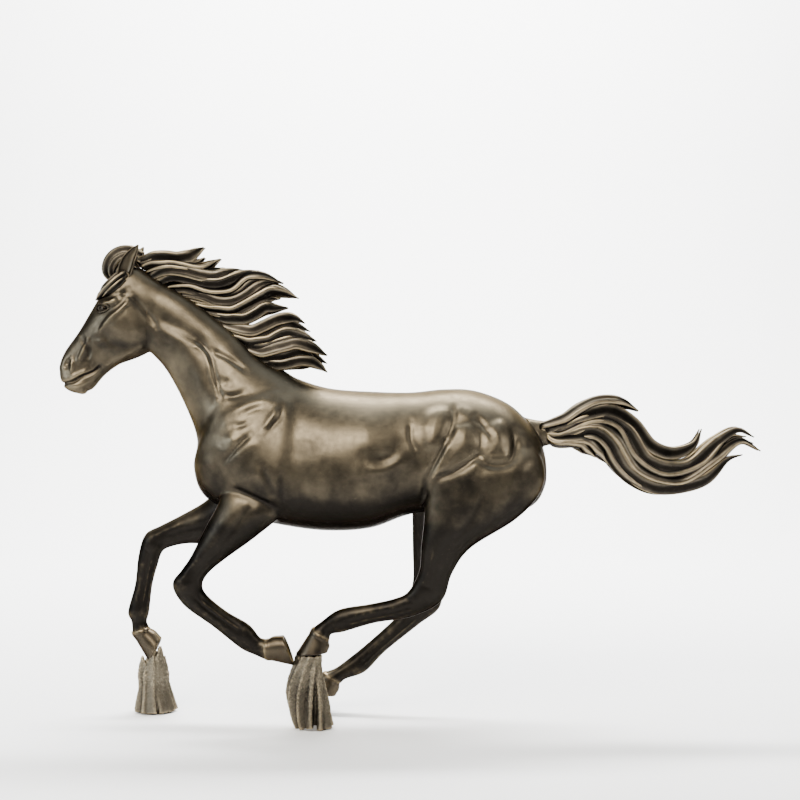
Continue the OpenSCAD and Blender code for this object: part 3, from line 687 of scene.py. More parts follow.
def legMarks(leg):
    # tendons, joints and muscle lines, placed on the leg by its own stations
    j = leg["joint"]
    fet = leg["coronet"] - 2

    def run(across, stations):
        return [legPoint(leg, int(s), across, s - int(s)) for s in stations]

    marks = [
        ("muscle", "swell", 7, 20, run(-0.35, [j - 4, j - 3, j - 2])),
        ("second muscle", "swell", 6, 18, run(0.35, [j - 4, j - 3, j - 2.2])),
        ("muscle line", "cut", 7, 8, run(0.0, [j - 4, j - 3, j - 2, j - 1.2])),
        ("bone ridge", "swell", 4, 5, run(-0.5, [j - 2, j - 1, j - 0.4])),
        ("cord line", "cut", 5, 5, run(0.42, [j - 2.4, j - 1.6, j - 0.6])),
        ("joint", "swell", 7, 14, run(-0.25, [j - 0.2, j + 0.15])),
        ("joint back", "swell", 6, 9, run(0.55, [j - 0.1, j + 0.2])),
        ("above the joint", "cut", 5, 6, [legPoint(leg, j - 1, -0.7, 0.55),
                                          legPoint(leg, j - 1, 0.1, 0.6)]),
        ("below the joint", "cut", 5, 6, [legPoint(leg, j, -0.8, 0.45), legPoint(leg, j, 0.2, 0.5)]),
        ("cannon bone", "swell", 4, 9, run(-0.35, [j + 1, j + 2, fet - 0.3])),
        ("tendon line", "cut", 6, 4.5, run(0.15, [j + 0.7, j + 1.4, j + 2.2, fet - 0.2])),
        ("tendon", "swell", 4, 4.5, run(0.38, [j + 0.7, j + 1.4, j + 2.2, fet - 0.2])),
        ("second line", "cut", 6, 4, run(0.6, [j + 0.9, j + 1.6, j + 2.3, fet - 0.3])),
        ("fetlock", "swell", 6, 12, run(-0.1, [fet - 0.1, fet + 0.1])),
        ("fetlock back", "swell", 6, 8, run(0.65, [fet, fet + 0.25])),
        ("pastern", "cut", 4, 8, run(0.2, [fet + 0.8, fet + 1.1])),
    ]
    return marks


def nearestForm(points, forms):
    # which form each point of the skin belongs to
    count = sum(len(o.data.vertices) for o in forms)
    tree = KDTree(count)
    owner = []
    for i, o in enumerate(forms):
        for v in getVerts(o):
            tree.insert(v, len(owner))
            owner.append(i)
    tree.balance()
    return np.array([owner[tree.find(p)[1]] for p in points])


# metres of height that count as full relief, and the share of each scale
reliefSetup = {"small": 0.0026, "large": 0.0090, "smallShare": 0.25, "largeShare": 0.75}


def relief(obj, fine=5, broad=34, strength=1.0):
    # how far each point stands out of or lies below its surroundings, for the patina
    v = getVerts(obj)
    n = getNormals(obj)
    near = smoothField(obj, v, fine)
    far = smoothField(obj, near, broad)
    s = reliefSetup
    small = ((v - near) * n).sum(1) / s["small"]
    large = ((near - far) * n).sum(1) / s["large"]
    return np.clip(strength * (s["smallShare"] * small + s["largeShare"] * large), -1, 1)


def storeField(obj, name, values):
    layer = obj.data.attributes.get(name) or obj.data.attributes.new(name, "FLOAT", "POINT")
    layer.data.foreach_set("value", np.ascontiguousarray(values, np.float32))


def finishSkin(obj, material, fine=5, broad=34, strength=1.0):
    for p in obj.data.polygons:
        p.use_smooth = True
    storeField(obj, "relief", relief(obj, fine, broad, strength))
    # skyward feeds the painted shade on downward-facing surfaces
    storeField(obj, "skyward", getNormals(obj)[:, 2])
    obj.data.materials.clear()
    obj.data.materials.append(material)


castingLip = 0.010


def takeCasting(source, mask, name, nodes):
    # lifts one casting out of the skin, closed at its seams, with the skin's own shading
    v, n = getVerts(source), getNormals(source)
    corners = np.empty(len(source.data.loops), np.int32)
    source.data.loops.foreach_get("vertex_index", corners)
    faces = corners.reshape(-1, 4)[mask]
    used, inverse = np.unique(faces, return_inverse=True)
    piece = makeMesh(name, v[used], inverse.reshape(faces.shape).tolist())
    bm = bmesh.new()
    bm.from_mesh(piece.data)
    # the rim is turned in before it is closed, so the closing face lies under the skin
    bm.verts.ensure_lookup_table()
    rim = [e for e in bm.edges if e.is_boundary]
    lip = {}
    order = list(used)
    for e in rim:
        for p in e.verts:
            if p.index not in lip:
                inward = Vector(n[used[p.index]]) * castingLip
                lip[p.index] = bm.verts.new(p.co - inward)
                order.append(used[p.index])
    inner = []
    for e in rim:
        a, b = e.verts
        bm.faces.new((a, b, lip[b.index], lip[a.index]))
        inner.append(bm.edges.get((lip[a.index], lip[b.index])))
    bmesh.ops.holes_fill(bm, edges=inner, sides=0)
    bmesh.ops.recalc_face_normals(bm, faces=bm.faces)
    for f in bm.faces:
        f.smooth = True
    bm.to_mesh(piece.data)
    bm.free()
    used = np.array(order)
    for field in ("relief", "skyward"):
        values = np.empty(len(v), np.float32)
        source.data.attributes[field].data.foreach_get("value", values)
        storeField(piece, field, values[used])
    piece.data.normals_split_custom_set_from_vertices([tuple(x) for x in n[used]])
    piece.data.materials.append(source.data.materials[0])
    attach(piece, "root")
    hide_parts(*nodes)


def besideSeam(points, a, b):
    # signed millimetres from the seam line through a and b, seen from the side
    a, b = np.array(a, float), np.array(b, float)
    d = (b - a) / np.linalg.norm(b - a)
    return (points[:, 0] - a[0]) * d[1] - (points[:, 1] - a[1]) * d[0]


bodySetup = {"voxel": 0.0048, "rounds": 10, "swell": 0.0026, "blend": 34, "marks": 1.0, "soft": 1.4,
             "legMarks": 0.62, "legSoft": 1.3}
headSetup = {"voxel": 0.0029, "rounds": 24, "swell": 0.0026, "marks": 1.05, "soft": 1.05,
             "from": -1020}
dockStations = [
    [440, 1380, 480, 1215, 0, 42, 0, 2], [550, 1350, 605, 1232, 0, 39, 0, 2],
    [632, 1342, 640, 1240, 0, 37, 0, 2], [700, 1358, 705, 1238, 0, 40, 0, 2],
    [770, 1385, 780, 1240, 0, 40, 0, 2],
]

trunkForm = loftSections("trunkForm", withFullness(trunkStations, fullness["trunk"]), 72, 10)
headForm = loftSections("headForm", withFullness(headStations, fullness["head"]), 64, 12)
dockForm = loftSections("dockForm", dockStations, 32, 6)
legForms = {k: loftSections(k + "Form", legRows(leg, leg["coronet"]), 40, 9) for k, leg in legs.items()}


def copyOf(obj):
    return makeMesh(obj.name + "Copy", getVerts(obj), [list(p.vertices) for p in obj.data.polygons])


def makeSkin(name, forms, setup):
    skin = joinAll(name, [copyOf(f) for f in forms])
    remesh(skin, setup["voxel"])
    smoothVerts(skin, setup["rounds"])
    setVerts(skin, getVerts(skin) + getNormals(skin) * setup["swell"])
    return skin


formList = [trunkForm, headForm, dockForm] + list(legForms.values())
body = makeSkin("horseSkin", formList, bodySetup)
owner = nearestForm(getVerts(body), formList)
for i in range(len(legs)):
    mine = smoothField(body, (owner == 3 + i).astype(float), 14)
    smoothVerts(body, bodySetup["blend"], 0.5, np.clip(4.5 * mine * (1 - mine), 0, 1))
for side in (-1, 1):
    sculpt(body, trunkMarks, side, None, bodySetup["marks"], bodySetup["soft"])
    sculpt(body, neckMarks, side, None, bodySetup["marks"], bodySetup["soft"])
    for i, leg in enumerate(legs.values()):
        mine = smoothField(body, (owner == 3 + i).astype(float), 6)
        sculpt(body, legMarks(leg), side, mine, bodySetup["legMarks"], bodySetup["legSoft"])
smoothVerts(body, 2)
finishSkin(body, darkBronze)
print("body modelled,", len(body.data.vertices), "points")

neckForm = loftSections("neckForm", withFullness(trunkStations[neckSeam:], fullness["trunk"]), 72, 10)
fineHead = makeSkin("headSkin", [neckForm, headForm], headSetup)
keep = ((getVerts(fineHead) - middle) / unit)[:, 0] < headSetup["from"]
for side in (-1, 1):
    sculpt(fineHead, neckMarks, side, keep * 1.0, bodySetup["marks"], bodySetup["soft"])
    sculpt(fineHead, headMarks, side, keep * 1.0, headSetup["marks"], headSetup["soft"])
    sculpt(fineHead, lipMarks, side, keep * 1.0, headSetup["marks"], headSetup["soft"], wrap=True)
smoothVerts(fineHead, 3)
finishSkin(fineHead, darkBronze, 8, 80)
print("head modelled,", len(fineHead.data.vertices), "points")


def faceCentres(obj):
    c = np.empty(len(obj.data.polygons) * 3)
    obj.data.polygons.foreach_get("center", c)
    return ((c.reshape(-1, 3) - middle) / unit)[:, [0, 2]]


def seamAt(station):
    r = trunkStations[station]
    return (r[0], r[1]), (r[2], r[3])


centres = faceCentres(body)
corner = np.empty(len(body.data.loops), np.int32)
body.data.loops.foreach_get("vertex_index", corner)
faceOwner = np.median(owner[corner.reshape(-1, 4)], axis=1).astype(int)
onTrunk = np.isin(faceOwner, (0, 1))
ahead = {name: besideSeam(centres, *seamAt(s)) > 0
         for name, s in (("loin", loinSeam), ("girth", girthSeam), ("neck", neckSeam), ("poll", pollSeam))}
takeCasting(body, onTrunk & ~ahead["loin"], "hindquartersCasting", ["hindquarters"])
takeCasting(body, onTrunk & ahead["loin"] & ~ahead["girth"], "barrelCasting", ["barrel"])
takeCasting(body, onTrunk & ahead["girth"] & ~ahead["neck"], "forehandCasting", ["forehand"])
takeCasting(body, onTrunk & ahead["neck"] & ~ahead["poll"], "neckCasting", ["neck"])
takeCasting(body, faceOwner == 2, "tailDock", ["tail_dock"])
for i, (key, leg) in enumerate(legs.items()):
    joint = besideSeam(centres, legPoint(leg, leg["joint"], -1), legPoint(leg, leg["joint"], 1))
    top = besideSeam(np.array([legPoint(leg, leg["joint"] - 2, 0)]), legPoint(leg, leg["joint"], -1),
                     legPoint(leg, leg["joint"], 1))[0]
    upper = joint * np.sign(top) > 0
    takeCasting(body, (faceOwner == 3 + i) & upper, key + "Upper", [leg["node"] + "_upper"])
    takeCasting(body, (faceOwner == 3 + i) & ~upper, key + "Cannon", [leg["node"] + "_cannon"])
takeCasting(fineHead, besideSeam(faceCentres(fineHead), *seamAt(pollSeam)) > 0, "headCasting", ["head"])
headTree = BVHTree.FromPolygons([tuple(v) for v in getVerts(fineHead)],
                                [tuple(p.vertices) for p in fineHead.data.polygons])
for o in formList + [neckForm, body, fineHead]:
    bpy.data.objects.remove(o)
print("castings parted at their seams")


# hooves: coronet band, flared wall, bearing edge and a hollow sole with its frog
hoofSetup = {"around": 56, "band": 3.0, "flare": 4.0, "soleDepth": 13, "rings": 8, "bulb": 9.0}


def hoofRow(leg, station):
    # front x z, rear x z, side place, half width
    g = leg["girth"][station]
    return np.array([*legPoint(leg, station, -1), *legPoint(leg, station, 1), leg["side"] * g[2], g[1]])


def makeHoof(key, leg, node):
    s = hoofSetup
    top = hoofRow(leg, leg["coronet"])
    end = hoofRow(leg, leg["coronet"] + 1)
    a = np.arange(s["around"]) / s["around"] * 2 * math.pi
    inward = np.array([(end[0] + end[2]) / 2 - (top[0] + top[2]) / 2, 0,
                       (end[1] + end[3]) / 2 - (top[1] + top[3]) / 2])
    inward = -inward / np.linalg.norm(inward)
    # each row: how far from coronet to sole, growth outwards, depth of the sole
    rows = [(-0.20, -5, 0), (-0.12, 1, 0), (-0.03, s["band"], 0), (0.06, s["band"] * 0.7, 0),
            (0.12, -0.5, 0)]
    rows += [(t, s["flare"] * t - 1, 0) for t in np.linspace(0.20, 0.92, s["rings"])]
    rows += [(0.97, s["flare"] - 2, 0), (0.995, s["flare"] - 6, 0), (1.0, -8, 1), (1.0, -12, 5),
             (1.0, -18, 9),
             (1.0, -32, s["soleDepth"]), (1.0, -46, s["soleDepth"])]
    verts = []
    for t, grow, deep in rows:
        r = top + (end - top) * t
        m = np.array([(r[0] + r[2]) / 2, r[4], (r[1] + r[3]) / 2])
        front = np.array([r[0] - m[0], 0, r[1] - m[2]])
        long = np.linalg.norm(front)
        front = front / long
        half = max(long + grow, 4)
        wide = max(r[5] + grow, 4)
        ca, sa = np.cos(a), np.sin(a)
        heel = np.clip(-ca, 0, 1) ** 3
        half = half + s["bulb"] * heel * math.sin(math.pi * min(max(t, 0), 1) ** 0.8) ** 2
        cleft = 1 - (0.16 if deep else 0.10) * heel * np.exp(-(sa / 0.3) ** 2)
        frog = 7 * np.exp(-(sa / 0.35) ** 2) * np.clip(-ca + 0.5, 0, 1) if deep > 8 else np.zeros(len(a))
        ring = (m + np.outer(ca * half * cleft, front) + np.outer(sa * wide * (1 - 0.10 * ca), [0, 1, 0])
                + np.outer(deep - frog, inward))
        verts.append(ring)
    hoof = makeMesh(key + "Hoof", toFrame(np.vstack(verts)), ringFaces(len(rows), s["around"]))
    faceOut(hoof)
    mod = hoof.modifiers.new("soft", "SUBSURF")
    mod.levels = mod.render_levels = 1
    applyAll(hoof)
    finishSkin(hoof, hoofBronze, 4, 30, 0.6)
    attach(hoof, "root")
    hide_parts(node)


for key, leg in legs.items():
    makeHoof(key, leg, leg["node"] + "_hoof")
print("hooves done")

# locks of hair: each is a ridged, tapering strand along a smooth curve
lockSetup = {"around": 28, "ridges": 3, "depth": 0.26, "stepLength": 12.0, "tipGap": 130, "shortReach": 0.6,
             "rootPart": 0.3, "tipFrom": 0.74, "tipPart": 0.26, "tipCurve": 0.65}


def lockTube(points, wide, thick, phase=0.0, twist=0.6, root=0.6, tip=0.09):
    s = lockSetup
    p = smoothLine(points, 10)
    gap = np.r_[0, np.cumsum(np.linalg.norm(np.diff(p, axis=0), axis=1))]
    count = max(int(gap[-1] / s["stepLength"]), 10)
    t = np.linspace(0, 1, count + 1)
    c = np.column_stack([np.interp(t * gap[-1], gap, p[:, k]) for k in range(3)])
    d = np.gradient(c, axis=0)
    d /= np.linalg.norm(d, axis=1)[:, None]
    u = np.cross(d, [0, 1, 0])
    u /= np.linalg.norm(u, axis=1)[:, None]
    w = np.cross(d, u)
    # swells from the root and closes to the tip
    size = root + (1 - root) * easeStep(t / s["rootPart"])
    closing = 1 - easeStep((t - s["tipFrom"]) / s["tipPart"])
    size = size * (tip + (1 - tip) * closing ** s["tipCurve"])
    a = np.arange(s["around"]) / s["around"] * 2 * math.pi
    verts, stand, angle, way = [], [], [], []
    for i in range(count + 1):
        wave = np.cos(s["ridges"] * a + phase + twist * t[i] * 2)
        ridge = (0.5 + 0.5 * wave) ** 1.5
        r = size[i] * (1 - s["depth"] + s["depth"] * 1.35 * ridge)
        verts.append(c[i] + np.outer(np.cos(a) * r * wide, u[i]) + np.outer(np.sin(a) * r * thick, w[i]))
        stand.append(ridge * 1.55 - 0.95)
        angle.append(a / (2 * math.pi) + phase)
        way.append(np.full(len(a), gap[-1] * t[i] * 0.001))
    faces = ringFaces(count + 1, s["around"])
    return np.vstack(verts), faces, np.hstack(stand), np.hstack(angle), np.hstack(way)


def joinTubes(tubes):
    # one set of points, faces and lock fields from many tubes
    verts, faces, fields, base = [], [], [[], [], []], 0
    for tube in tubes:
        v, f, *more = lockTube(**tube)
        verts.append(v)
        faces += [[base + i for i in face] for face in f]
        for store, values in zip(fields, more):
            store.append(values)
        base += len(v)
    return toFrame(np.vstack(verts)), faces, [np.hstack(f) for f in fields]


def makeHair(name, locks, node):
    verts, faces, fields = joinTubes(locks)
    hair = makeMesh(name, verts, faces)
    faceOut(hair)
    for p in hair.data.polygons:
        p.use_smooth = True
    for field, values in zip(("relief", "strand", "along"), fields):
        storeField(hair, field, values)
    storeField(hair, "skyward", getNormals(hair)[:, 2])
    hair.data.materials.append(hairBronze)
    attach(hair, "root")
    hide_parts(node)


def strandsBetween(guides, perGap, spread, wide, thick, layers):
    # fills the space between the given guide strands with locks, on both sides of the middle
    locks = []
    even = []
    for guide in guides:
        g = smoothLine(guide, 12)
        at = np.linspace(0, 1, len(g))
        even.append(np.column_stack([np.interp(np.linspace(0, 1, 9), at, g[:, k]) for k in (0, 1)]))
    for i in range(len(even)):
        steps = range(perGap if i < len(even) - 1 else 1)
        for j in steps:
            f = j / perGap
            path = even[i] if j == 0 else even[i] * (1 - f) + even[i + 1] * f
            for side, far in layers:
                wobble = rng.normal(0, 2.2, path.shape)
                wobble[0] = 0
                reach = 1.0 if j == 0 else rng.uniform(0.86, 0.97)
                # a lock between guides that end far apart stays short
                if j and np.hypot(*(even[i][-1] - even[i + 1][-1])) > lockSetup["tipGap"]:
                    reach = lockSetup["shortReach"]
                keep = max(int(round(reach * (len(path) - 1))) + 1, 5)
                cut = (path + wobble)[:keep]
                bow = np.sin(np.linspace(0.15, 1, len(cut)) * math.pi * 0.86)
                y = side * (far + spread * bow * (0.8 if j else 1.0))
                size = rng.uniform(0.85, 1.1) * (1.0 if j == 0 else 0.85)
                locks.append({"points": np.column_stack([cut[:, 0], y, cut[:, 1]]), "wide": wide * size,
                              "thick": thick * size, "phase": rng.uniform(0, 6.28),
                              "twist": rng.uniform(-0.8, 0.8)})
    return locks


# guide strands from the crest to their tips: x z
maneGuides = {
    "upper": [
        [(-1222, 2062), (-1140, 2082), (-1045, 2078), (-982, 2086), (-926, 2124)],
        [(-1205, 2035), (-1115, 2056), (-1015, 2045), (-930, 2034), (-850, 2072)],
        [(-1160, 1988), (-1080, 2022), (-985, 2010), (-885, 1985), (-800, 2014), (-750, 2022)],
        [(-1125, 1965), (-1045, 1992), (-950, 1975), (-852, 1962), (-762, 2004), (-672, 2020)],
    ],
    "middle": [
        [(-1085, 1945), (-1000, 1952), (-900, 1925), (-800, 1930), (-700, 1992), (-568, 1964)],
        [(-1025, 1912), (-940, 1902), (-850, 1878), (-750, 1893), (-655, 1962), (-604, 1956)],
        [(-960, 1868), (-870, 1850), (-780, 1850), (-680, 1905), (-600, 1936), (-503, 1896)],
        [(-905, 1822), (-820, 1805), (-735, 1806), (-650, 1852), (-548, 1852)],
    ],
    "lower": [
        [(-862, 1782), (-775, 1756), (-690, 1750), (-608, 1792), (-535, 1810), (-473, 1786)],
        [(-810, 1728), (-725, 1706), (-630, 1712), (-545, 1748), (-424, 1702)],
        [(-758, 1678), (-675, 1652), (-590, 1668), (-505, 1688), (-373, 1638)],
        [(-705, 1628), (-610, 1598), (-525, 1606), (-445, 1612), (-372, 1564)],
    ],
}
maneSetup = {"perGap": 2, "spread": 30, "wide": 29, "thick": 22, "layers": ((-1, 12), (1, 12))}
for part, guides in maneGuides.items():
    locks = strandsBetween(guides, **maneSetup)
    core = [g[:-1] for g in guides]
    locks += strandsBetween(core, 2, 0, 20, 20, ((1, 0),))
    makeHair("mane" + part.capitalize(), locks, "mane_" + part)
print("mane done")

tailGuides = {
    "tail_upper_locks": [
        [(600, 1322), (680, 1342), (760, 1400), (845, 1432), (932, 1430), (1028, 1386)],
        [(600, 1308), (700, 1322), (790, 1378), (880, 1400), (960, 1368), (1020, 1298), (1082, 1228),
         (1152, 1198), (1230, 1212), (1284, 1256), (1304, 1308)],
        [(615, 1294), (720, 1306), (800, 1352), (880, 1366), (950, 1326), (1002, 1240), (1064, 1172),
         (1152, 1142), (1250, 1154), (1330, 1212), (1402, 1284), (1450, 1306), (1500, 1300), (1543, 1273)],
    ],
    "tail_switch": [
        [(615, 1286), (720, 1296), (800, 1338), (876, 1348), (938, 1308), (986, 1222), (1046, 1146),
         (1136, 1108), (1240, 1118), (1326, 1168), (1400, 1250), (1455, 1284), (1508, 1276)],
        [(615, 1278), (720, 1288), (800, 1322), (868, 1330), (924, 1286), (970, 1198), (1030, 1122),
         (1120, 1080), (1230, 1088), (1320, 1134), (1400, 1216), (1460, 1250), (1520, 1244), (1571, 1210)],
    ],
    "tail_lower_locks": [
        [(620, 1272), (720, 1280), (800, 1302), (854, 1296), (904, 1240), (946, 1162), (1010, 1094),
         (1100, 1054), (1220, 1064), (1326, 1096), (1396, 1152), (1448, 1190), (1488, 1192)],
        [(635, 1264), (730, 1268), (800, 1278), (850, 1252), (892, 1198), (934, 1130), (1002, 1074),
         (1100, 1038), (1236, 1026)],
        [(645, 1260), (740, 1260), (800, 1256), (848, 1214), (888, 1148)],
        [(655, 1254), (740, 1252), (788, 1226), (833, 1180)],
    ],
}
tailSetup = {"perGap": 2, "spread": 38, "wide": 32, "thick": 25, "layers": ((-1, 8), (1, 8))}
tailRoot = np.array([606, 1292], float)
for part, guides in tailGuides.items():
    # every strand starts inside the dock
    guides = [[tuple(tailRoot * 0.75 + np.array(g[0]) * 0.25)] + g for g in guides]
    locks = strandsBetween(guides, **tailSetup)
    if part == "tail_switch":
        locks += strandsBetween([g[:-1] for g in guides], 3, 0, 34, 34, ((1, 0),))
    parts = part.split("_")
    makeHair(parts[0] + "".join(p.capitalize() for p in parts[1:]), locks, part)
print("tail done")


# eyes, lids and ears, set on the head's own surface
eyeSetup = {"x": -1366, "z": 1846, "radius": 28, "sink": 11, "lid": 6.5, "lidReach": 37,
            "lids": ((20, 8, 1.3), (-17, 0, 0.85)), "pupil": 0.05, "pupilDepth": 0.16}


def onHead(x, z, side):
    start = toFrame((x, side * 400, z))
    hit, normal, _, _ = headTree.ray_cast(Vector(start), Vector((0, -side, 0)))
    return (np.array(hit) - middle) / unit, np.array(normal)


# the big curl between the ears, and the locks lying down the forehead
curlGuides = [
    ([(-1205, 2085), (-1255, 2108), (-1305, 2104), (-1344, 2076), (-1360, 2032), (-1346, 1990),
      (-1312, 1962)], 25, -14),
    ([(-1205, 2060), (-1262, 2084), (-1306, 2072), (-1332, 2040), (-1334, 2002), (-1316, 1970)], 19, -30),
    ([(-1222, 2030), (-1270, 2050), (-1302, 2034), (-1314, 2006), (-1306, 1978)], 15, -42),
    ([(-1200, 2092), (-1250, 2118), (-1306, 2112), (-1350, 2082), (-1368, 2040), (-1362, 1998)], 20, 6),
    ([(-1205, 2070), (-1268, 2094), (-1320, 2074), (-1344, 2030), (-1336, 1978)], 22, 24),
]
foreheadLocks = [
    ([(-1262, 2000), (-1290, 1976), (-1322, 1945), (-1358, 1912), (-1392, 1880)], 22, 12),
    ([(-1268, 1978), (-1296, 1950), (-1330, 1922), (-1362, 1892)], 15, 9),
    ([(-1280, 2012), (-1312, 1978), (-1345, 1944), (-1378, 1908)], 16, 9),
]
curl = []
for path, wide, y in curlGuides:
    p = np.array(path, float)
    sway = y + 8 * np.sin(np.linspace(0, math.pi, len(p)))
    curl.append({"points": np.column_stack([p[:, 0], sway, p[:, 1]]), "wide": wide, "thick": wide * 0.85,
                 "phase": rng.uniform(0, 6.28), "twist": 0.9})
for side in (-1, 1):
    for path, wide, lift in foreheadLocks:
        spots = []
        for x, z in path:
            spot, n = onHead(x, z, side)
            spots.append(spot + n * lift)
        curl.append({"points": np.array(spots), "wide": wide, "thick": wide * 0.8,
                     "phase": rng.uniform(0, 6.28),
                     "twist": 0.7, "tip": 0.12})
makeHair("forelockCurl", curl, "forelock")
print("forelock done")


def makeEye(side, node):
    s = eyeSetup
    word = "left" if side < 0 else "right"
    place, normal = onHead(s["x"], s["z"], side)
    centre = place - normal * s["sink"]
    bm = bmesh.new()
    bmesh.ops.create_uvsphere(bm, u_segments=40, v_segments=24, radius=1.0)
    ball = bpy.data.meshes.new(word + "Eye")
    bm.to_mesh(ball)
    bm.free()
    eye = bpy.data.objects.new(word + "Eye", ball)
    bpy.context.scene.collection.objects.link(eye)
    p = getVerts(eye)
    # the pupil is a shallow dish cut into the ball, facing outwards and a little forward
    look = np.array([-0.35, side * 0.92, 0.05])
    look /= np.linalg.norm(look)
    dish = np.exp(-((1 - p @ look) / s["pupil"]) ** 2)
    p = p * (1 - s["pupilDepth"] * dish)[:, None] * np.array([1.15, 1.0, 0.95])
    setVerts(eye, toFrame(centre + p * s["radius"]))
    finishSkin(eye, eyeBronze, 2, 8)
    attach(eye, "root")
    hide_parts(node)
    lids = []
    for rise, droop, thick in s["lids"]:
        arc = []
        for t in np.linspace(-1, 1, 9):
            x = s["x"] - t * s["lidReach"]
            z = s["z"] + rise * (1 - t * t) - t * 5 + droop * (1 - t * t) * 0.3
            spot, n = onHead(x, z, side)
            stand = 3.5 if abs(t) < 0.9 else 0.5
            arc.append(spot + n * stand + np.array([0, side * 2.5 * (1 - t * t), 0]))
        lids.append({"points": np.array(arc), "wide": s["lid"] * thick, "thick": s["lid"] * thick * 0.9,
                     "root": 0.3, "tip": 0.2, "twist": 0.0})
    verts, faces, _ = joinTubes(lids)
    piece = makeMesh(word + "EyeLids", verts, faces)
    remesh(piece, 0.0016)
    smoothVerts(piece, 14)
    finishSkin(piece, darkBronze, 4, 30)
    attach(piece, "root")


earSetup = {"wall": 0.30, "rings": 34, "around": 40}
earLine = [(-1282, 52, 1950, 16), (-1276, 62, 1985, 27), (-1266, 70, 2025, 34), (-1250, 73, 2065, 31),
           (-1230, 70, 2100, 20), (-1210, 66, 2132, 3)]


def makeEar(side, node):
    # a leaf rolled into a cup that opens outwards and forward
    s = earSetup
    line = smoothLine(earLine, 8)
    pick = np.linspace(0, len(line) - 1, s["rings"]).round().astype(int)
    line = line[pick]
    d = np.gradient(line[:, :3], axis=0)
    d /= np.linalg.norm(d, axis=1)[:, None]
    verts = []
    half = s["around"] // 2
    for row, way in zip(line, d):
        across = np.cross(way, [0, 1, 0])
        across /= np.linalg.norm(across)
        out = np.cross(across, way)
        out = out if out[1] > 0 else -out
        w = row[3]
        a = np.linspace(0, math.pi, half)
        back = np.outer(np.cos(a) * w, across) - np.outer(np.sin(a) * w * 0.85, out)
        a = a[::-1]
        cup = np.outer(np.cos(a) * w * 0.80, across) - np.outer(np.sin(a) * w * 0.62 - w * 0.06, out)
        ring = row[:3] + np.vstack([back, cup]) + out * w * 0.30
        ring[:, 1] *= side
        verts.append(ring)
    word = "left" if side < 0 else "right"
    ear = makeMesh(word + "Ear", toFrame(np.vstack(verts)), ringFaces(len(line), s["around"]))
    faceOut(ear)
    mod = ear.modifiers.new("soft", "SUBSURF")
    mod.levels = mod.render_levels = 1
    applyAll(ear)
    finishSkin(ear, darkBronze, 3, 20)
    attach(ear, "root")
    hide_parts(node)


for side, word in ((-1, "left"), (1, "right")):
    makeEye(side, "eye_" + word)
    makeEar(side, "ear_" + word)
print("eyes and ears done")

# supports: ribs of rough bronze rising from the ground to the standing hooves
frontTuft = {"voxel": 0.0032, "grain": 0.0020, "ribs": [
    # foot x y, shoulder x y z, top x y z, foot radius, top radius
    (-1240, 118, -1222, 136, 120, -1228, 138, 262, 23, 7),
    (-1212, 96, -1206, 124, 130, -1210, 122, 214, 24, 6),
    (-1172, 88, -1182, 118, 140, -1176, 122, 282, 27, 11),
    (-1130, 100, -1156, 124, 130, -1146, 128, 306, 25, 10),
    (-1098, 128, -1136, 142, 130, -1128, 138, 258, 23, 5),
    (-1090, 168, -1130, 164, 140, -1122, 166, 216, 24, 6),
    (-1104, 206, -1140, 184, 130, -1134, 188, 250, 23, 6),
    (-1142, 228, -1160, 198, 130, -1160, 202, 274, 24, 7),
    (-1184, 234, -1188, 202, 130, -1182, 198, 276, 26, 11),
    (-1226, 216, -1212, 190, 130, -1216, 194, 246, 23, 6),
    (-1250, 172, -1228, 164, 120, -1238, 164, 226, 23, 6),
    (-1172, 162, -1176, 160, 120, -1180, 160, 214, 54, 34),
]}
plumeSetup = {"side": -150, "voxel": 0.0034, "grain": 0.0016, "count": 10, "rib": 22, "turn": 1.1,
              "height": 320,
              "core": {"wide": 60, "thick": 44, "root": 1.15, "tip": 0.95, "twist": 0.0}}
# the plume's outline: front edge x, rear edge x, z, half width
plumeOutline = [(-508, -330, 0, 80), (-524, -340, 45, 76), (-540, -352, 105, 66), (-546, -368, 165, 62),
                (-536, -382, 225, 58), (-516, -386, 280, 54), (-498, -380, 322, 50)]


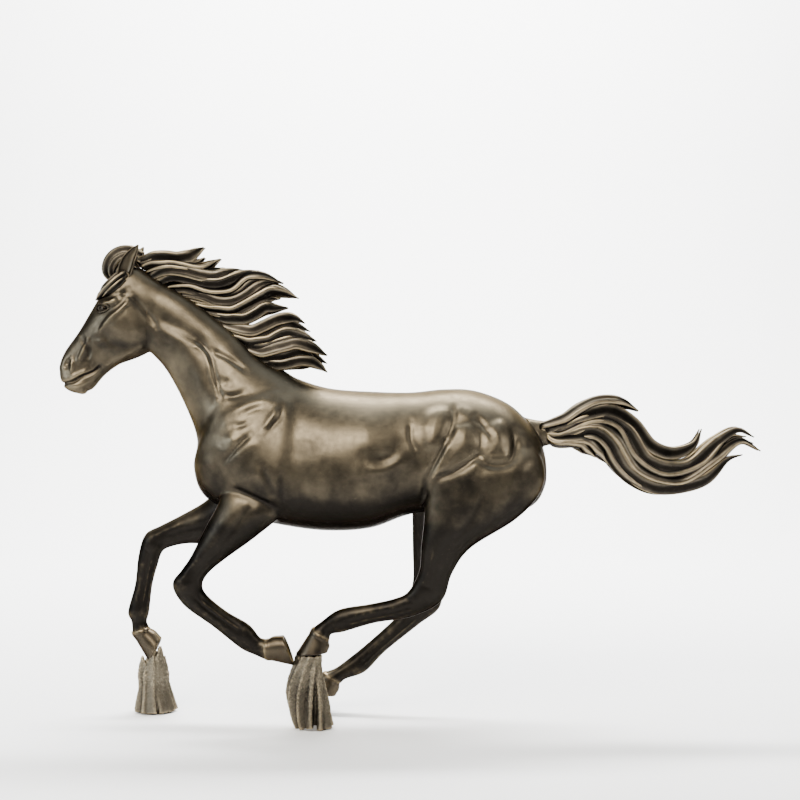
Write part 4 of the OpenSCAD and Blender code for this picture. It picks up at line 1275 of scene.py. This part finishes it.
def makeSupport(name, tubes, setup, node):
    verts, faces, _ = joinTubes(tubes)
    piece = makeMesh(name, verts, faces)
    remesh(piece, setup["voxel"])
    smoothVerts(piece, 3)
    v, n = getVerts(piece), getNormals(piece)
    height = ((v - middle) / unit)[:, 2]
    grain = rng.normal(0, 1, len(v))
    grain = smoothField(piece, grain, 2)
    grain /= grain.std()
    rough = 0.35 + 0.65 * easeStep((height - 60) / 90)
    v = v + n * (np.clip(grain, -1.5, 2.0) * setup["grain"] * 0.5 * rough)[:, None]
    v[:, 2] = np.maximum(v[:, 2], low[2] + 0.0004)
    setVerts(piece, v)
    finishSkin(piece, roughBronze, 3, 30, 2.2)
    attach(piece, "root")
    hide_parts(node)


tuft = []
for fx, fy, mx, my, mz, tx, ty, tz, wide, top in frontTuft["ribs"]:
    path = [(fx, fy, 4), ((fx * 2 + mx) / 3, (fy * 2 + my) / 3, 45), (mx, my, mz), (tx, ty, tz)]
    tuft.append({"points": path, "wide": wide, "thick": wide * 0.8, "root": 1.0, "tip": top / wide * 0.8,
                 "phase": rng.uniform(0, 6.28), "twist": 0.3})
makeSupport("frontTuft", tuft, frontTuft, "front_support")

plume = []
for k in range(plumeSetup["count"]):
    a = 2 * math.pi * k / plumeSetup["count"]
    path = []
    for front, rear, z, wide in plumeOutline:
        mid, half = (front + rear) / 2, (rear - front) / 2
        turn = a + plumeSetup["turn"] * (z / plumeSetup["height"] - 0.5)
        path.append((mid + (half - plumeSetup["rib"]) * math.cos(turn),
                     plumeSetup["side"] + (wide - plumeSetup["rib"]) * math.sin(turn),
                     max(z, 3 + 4 * (k % 3))))
    plume.append({"points": path, "wide": plumeSetup["rib"], "thick": plumeSetup["rib"] * 0.95, "root": 0.9,
                  "tip": 0.85, "phase": rng.uniform(0, 6.28), "twist": 0.2})
core = [((f + r) / 2, plumeSetup["side"], max(z, 2)) for f, r, z, w in plumeOutline]
plume.append({"points": core, **plumeSetup["core"]})
makeSupport("rearPlume", plume, plumeSetup, "rear_support")
print("supports done")

# parts hidden inside keep their castings' shape and get a finish of their own
insideNodes = [
    (innerBronze, ["girth_sleeve", "loin_sleeve", "neck_sleeve", "poll_sleeve"]),
    (armatureSteel, ["spine_tube", "shoulder_bar", "hip_bar", "neck_post", "tail_spigot",
                     "barrel_struts", "fore_rod", "hind_rod", "front_anchor", "rear_anchor"]),
]
for material, names in insideNodes:
    for o in bpy.data.objects:
        if o.type == "MESH" and o.name.split(".")[0].split("[")[0] in names:
            for slot in o.material_slots:
                slot.material = material
print("inside parts finished")
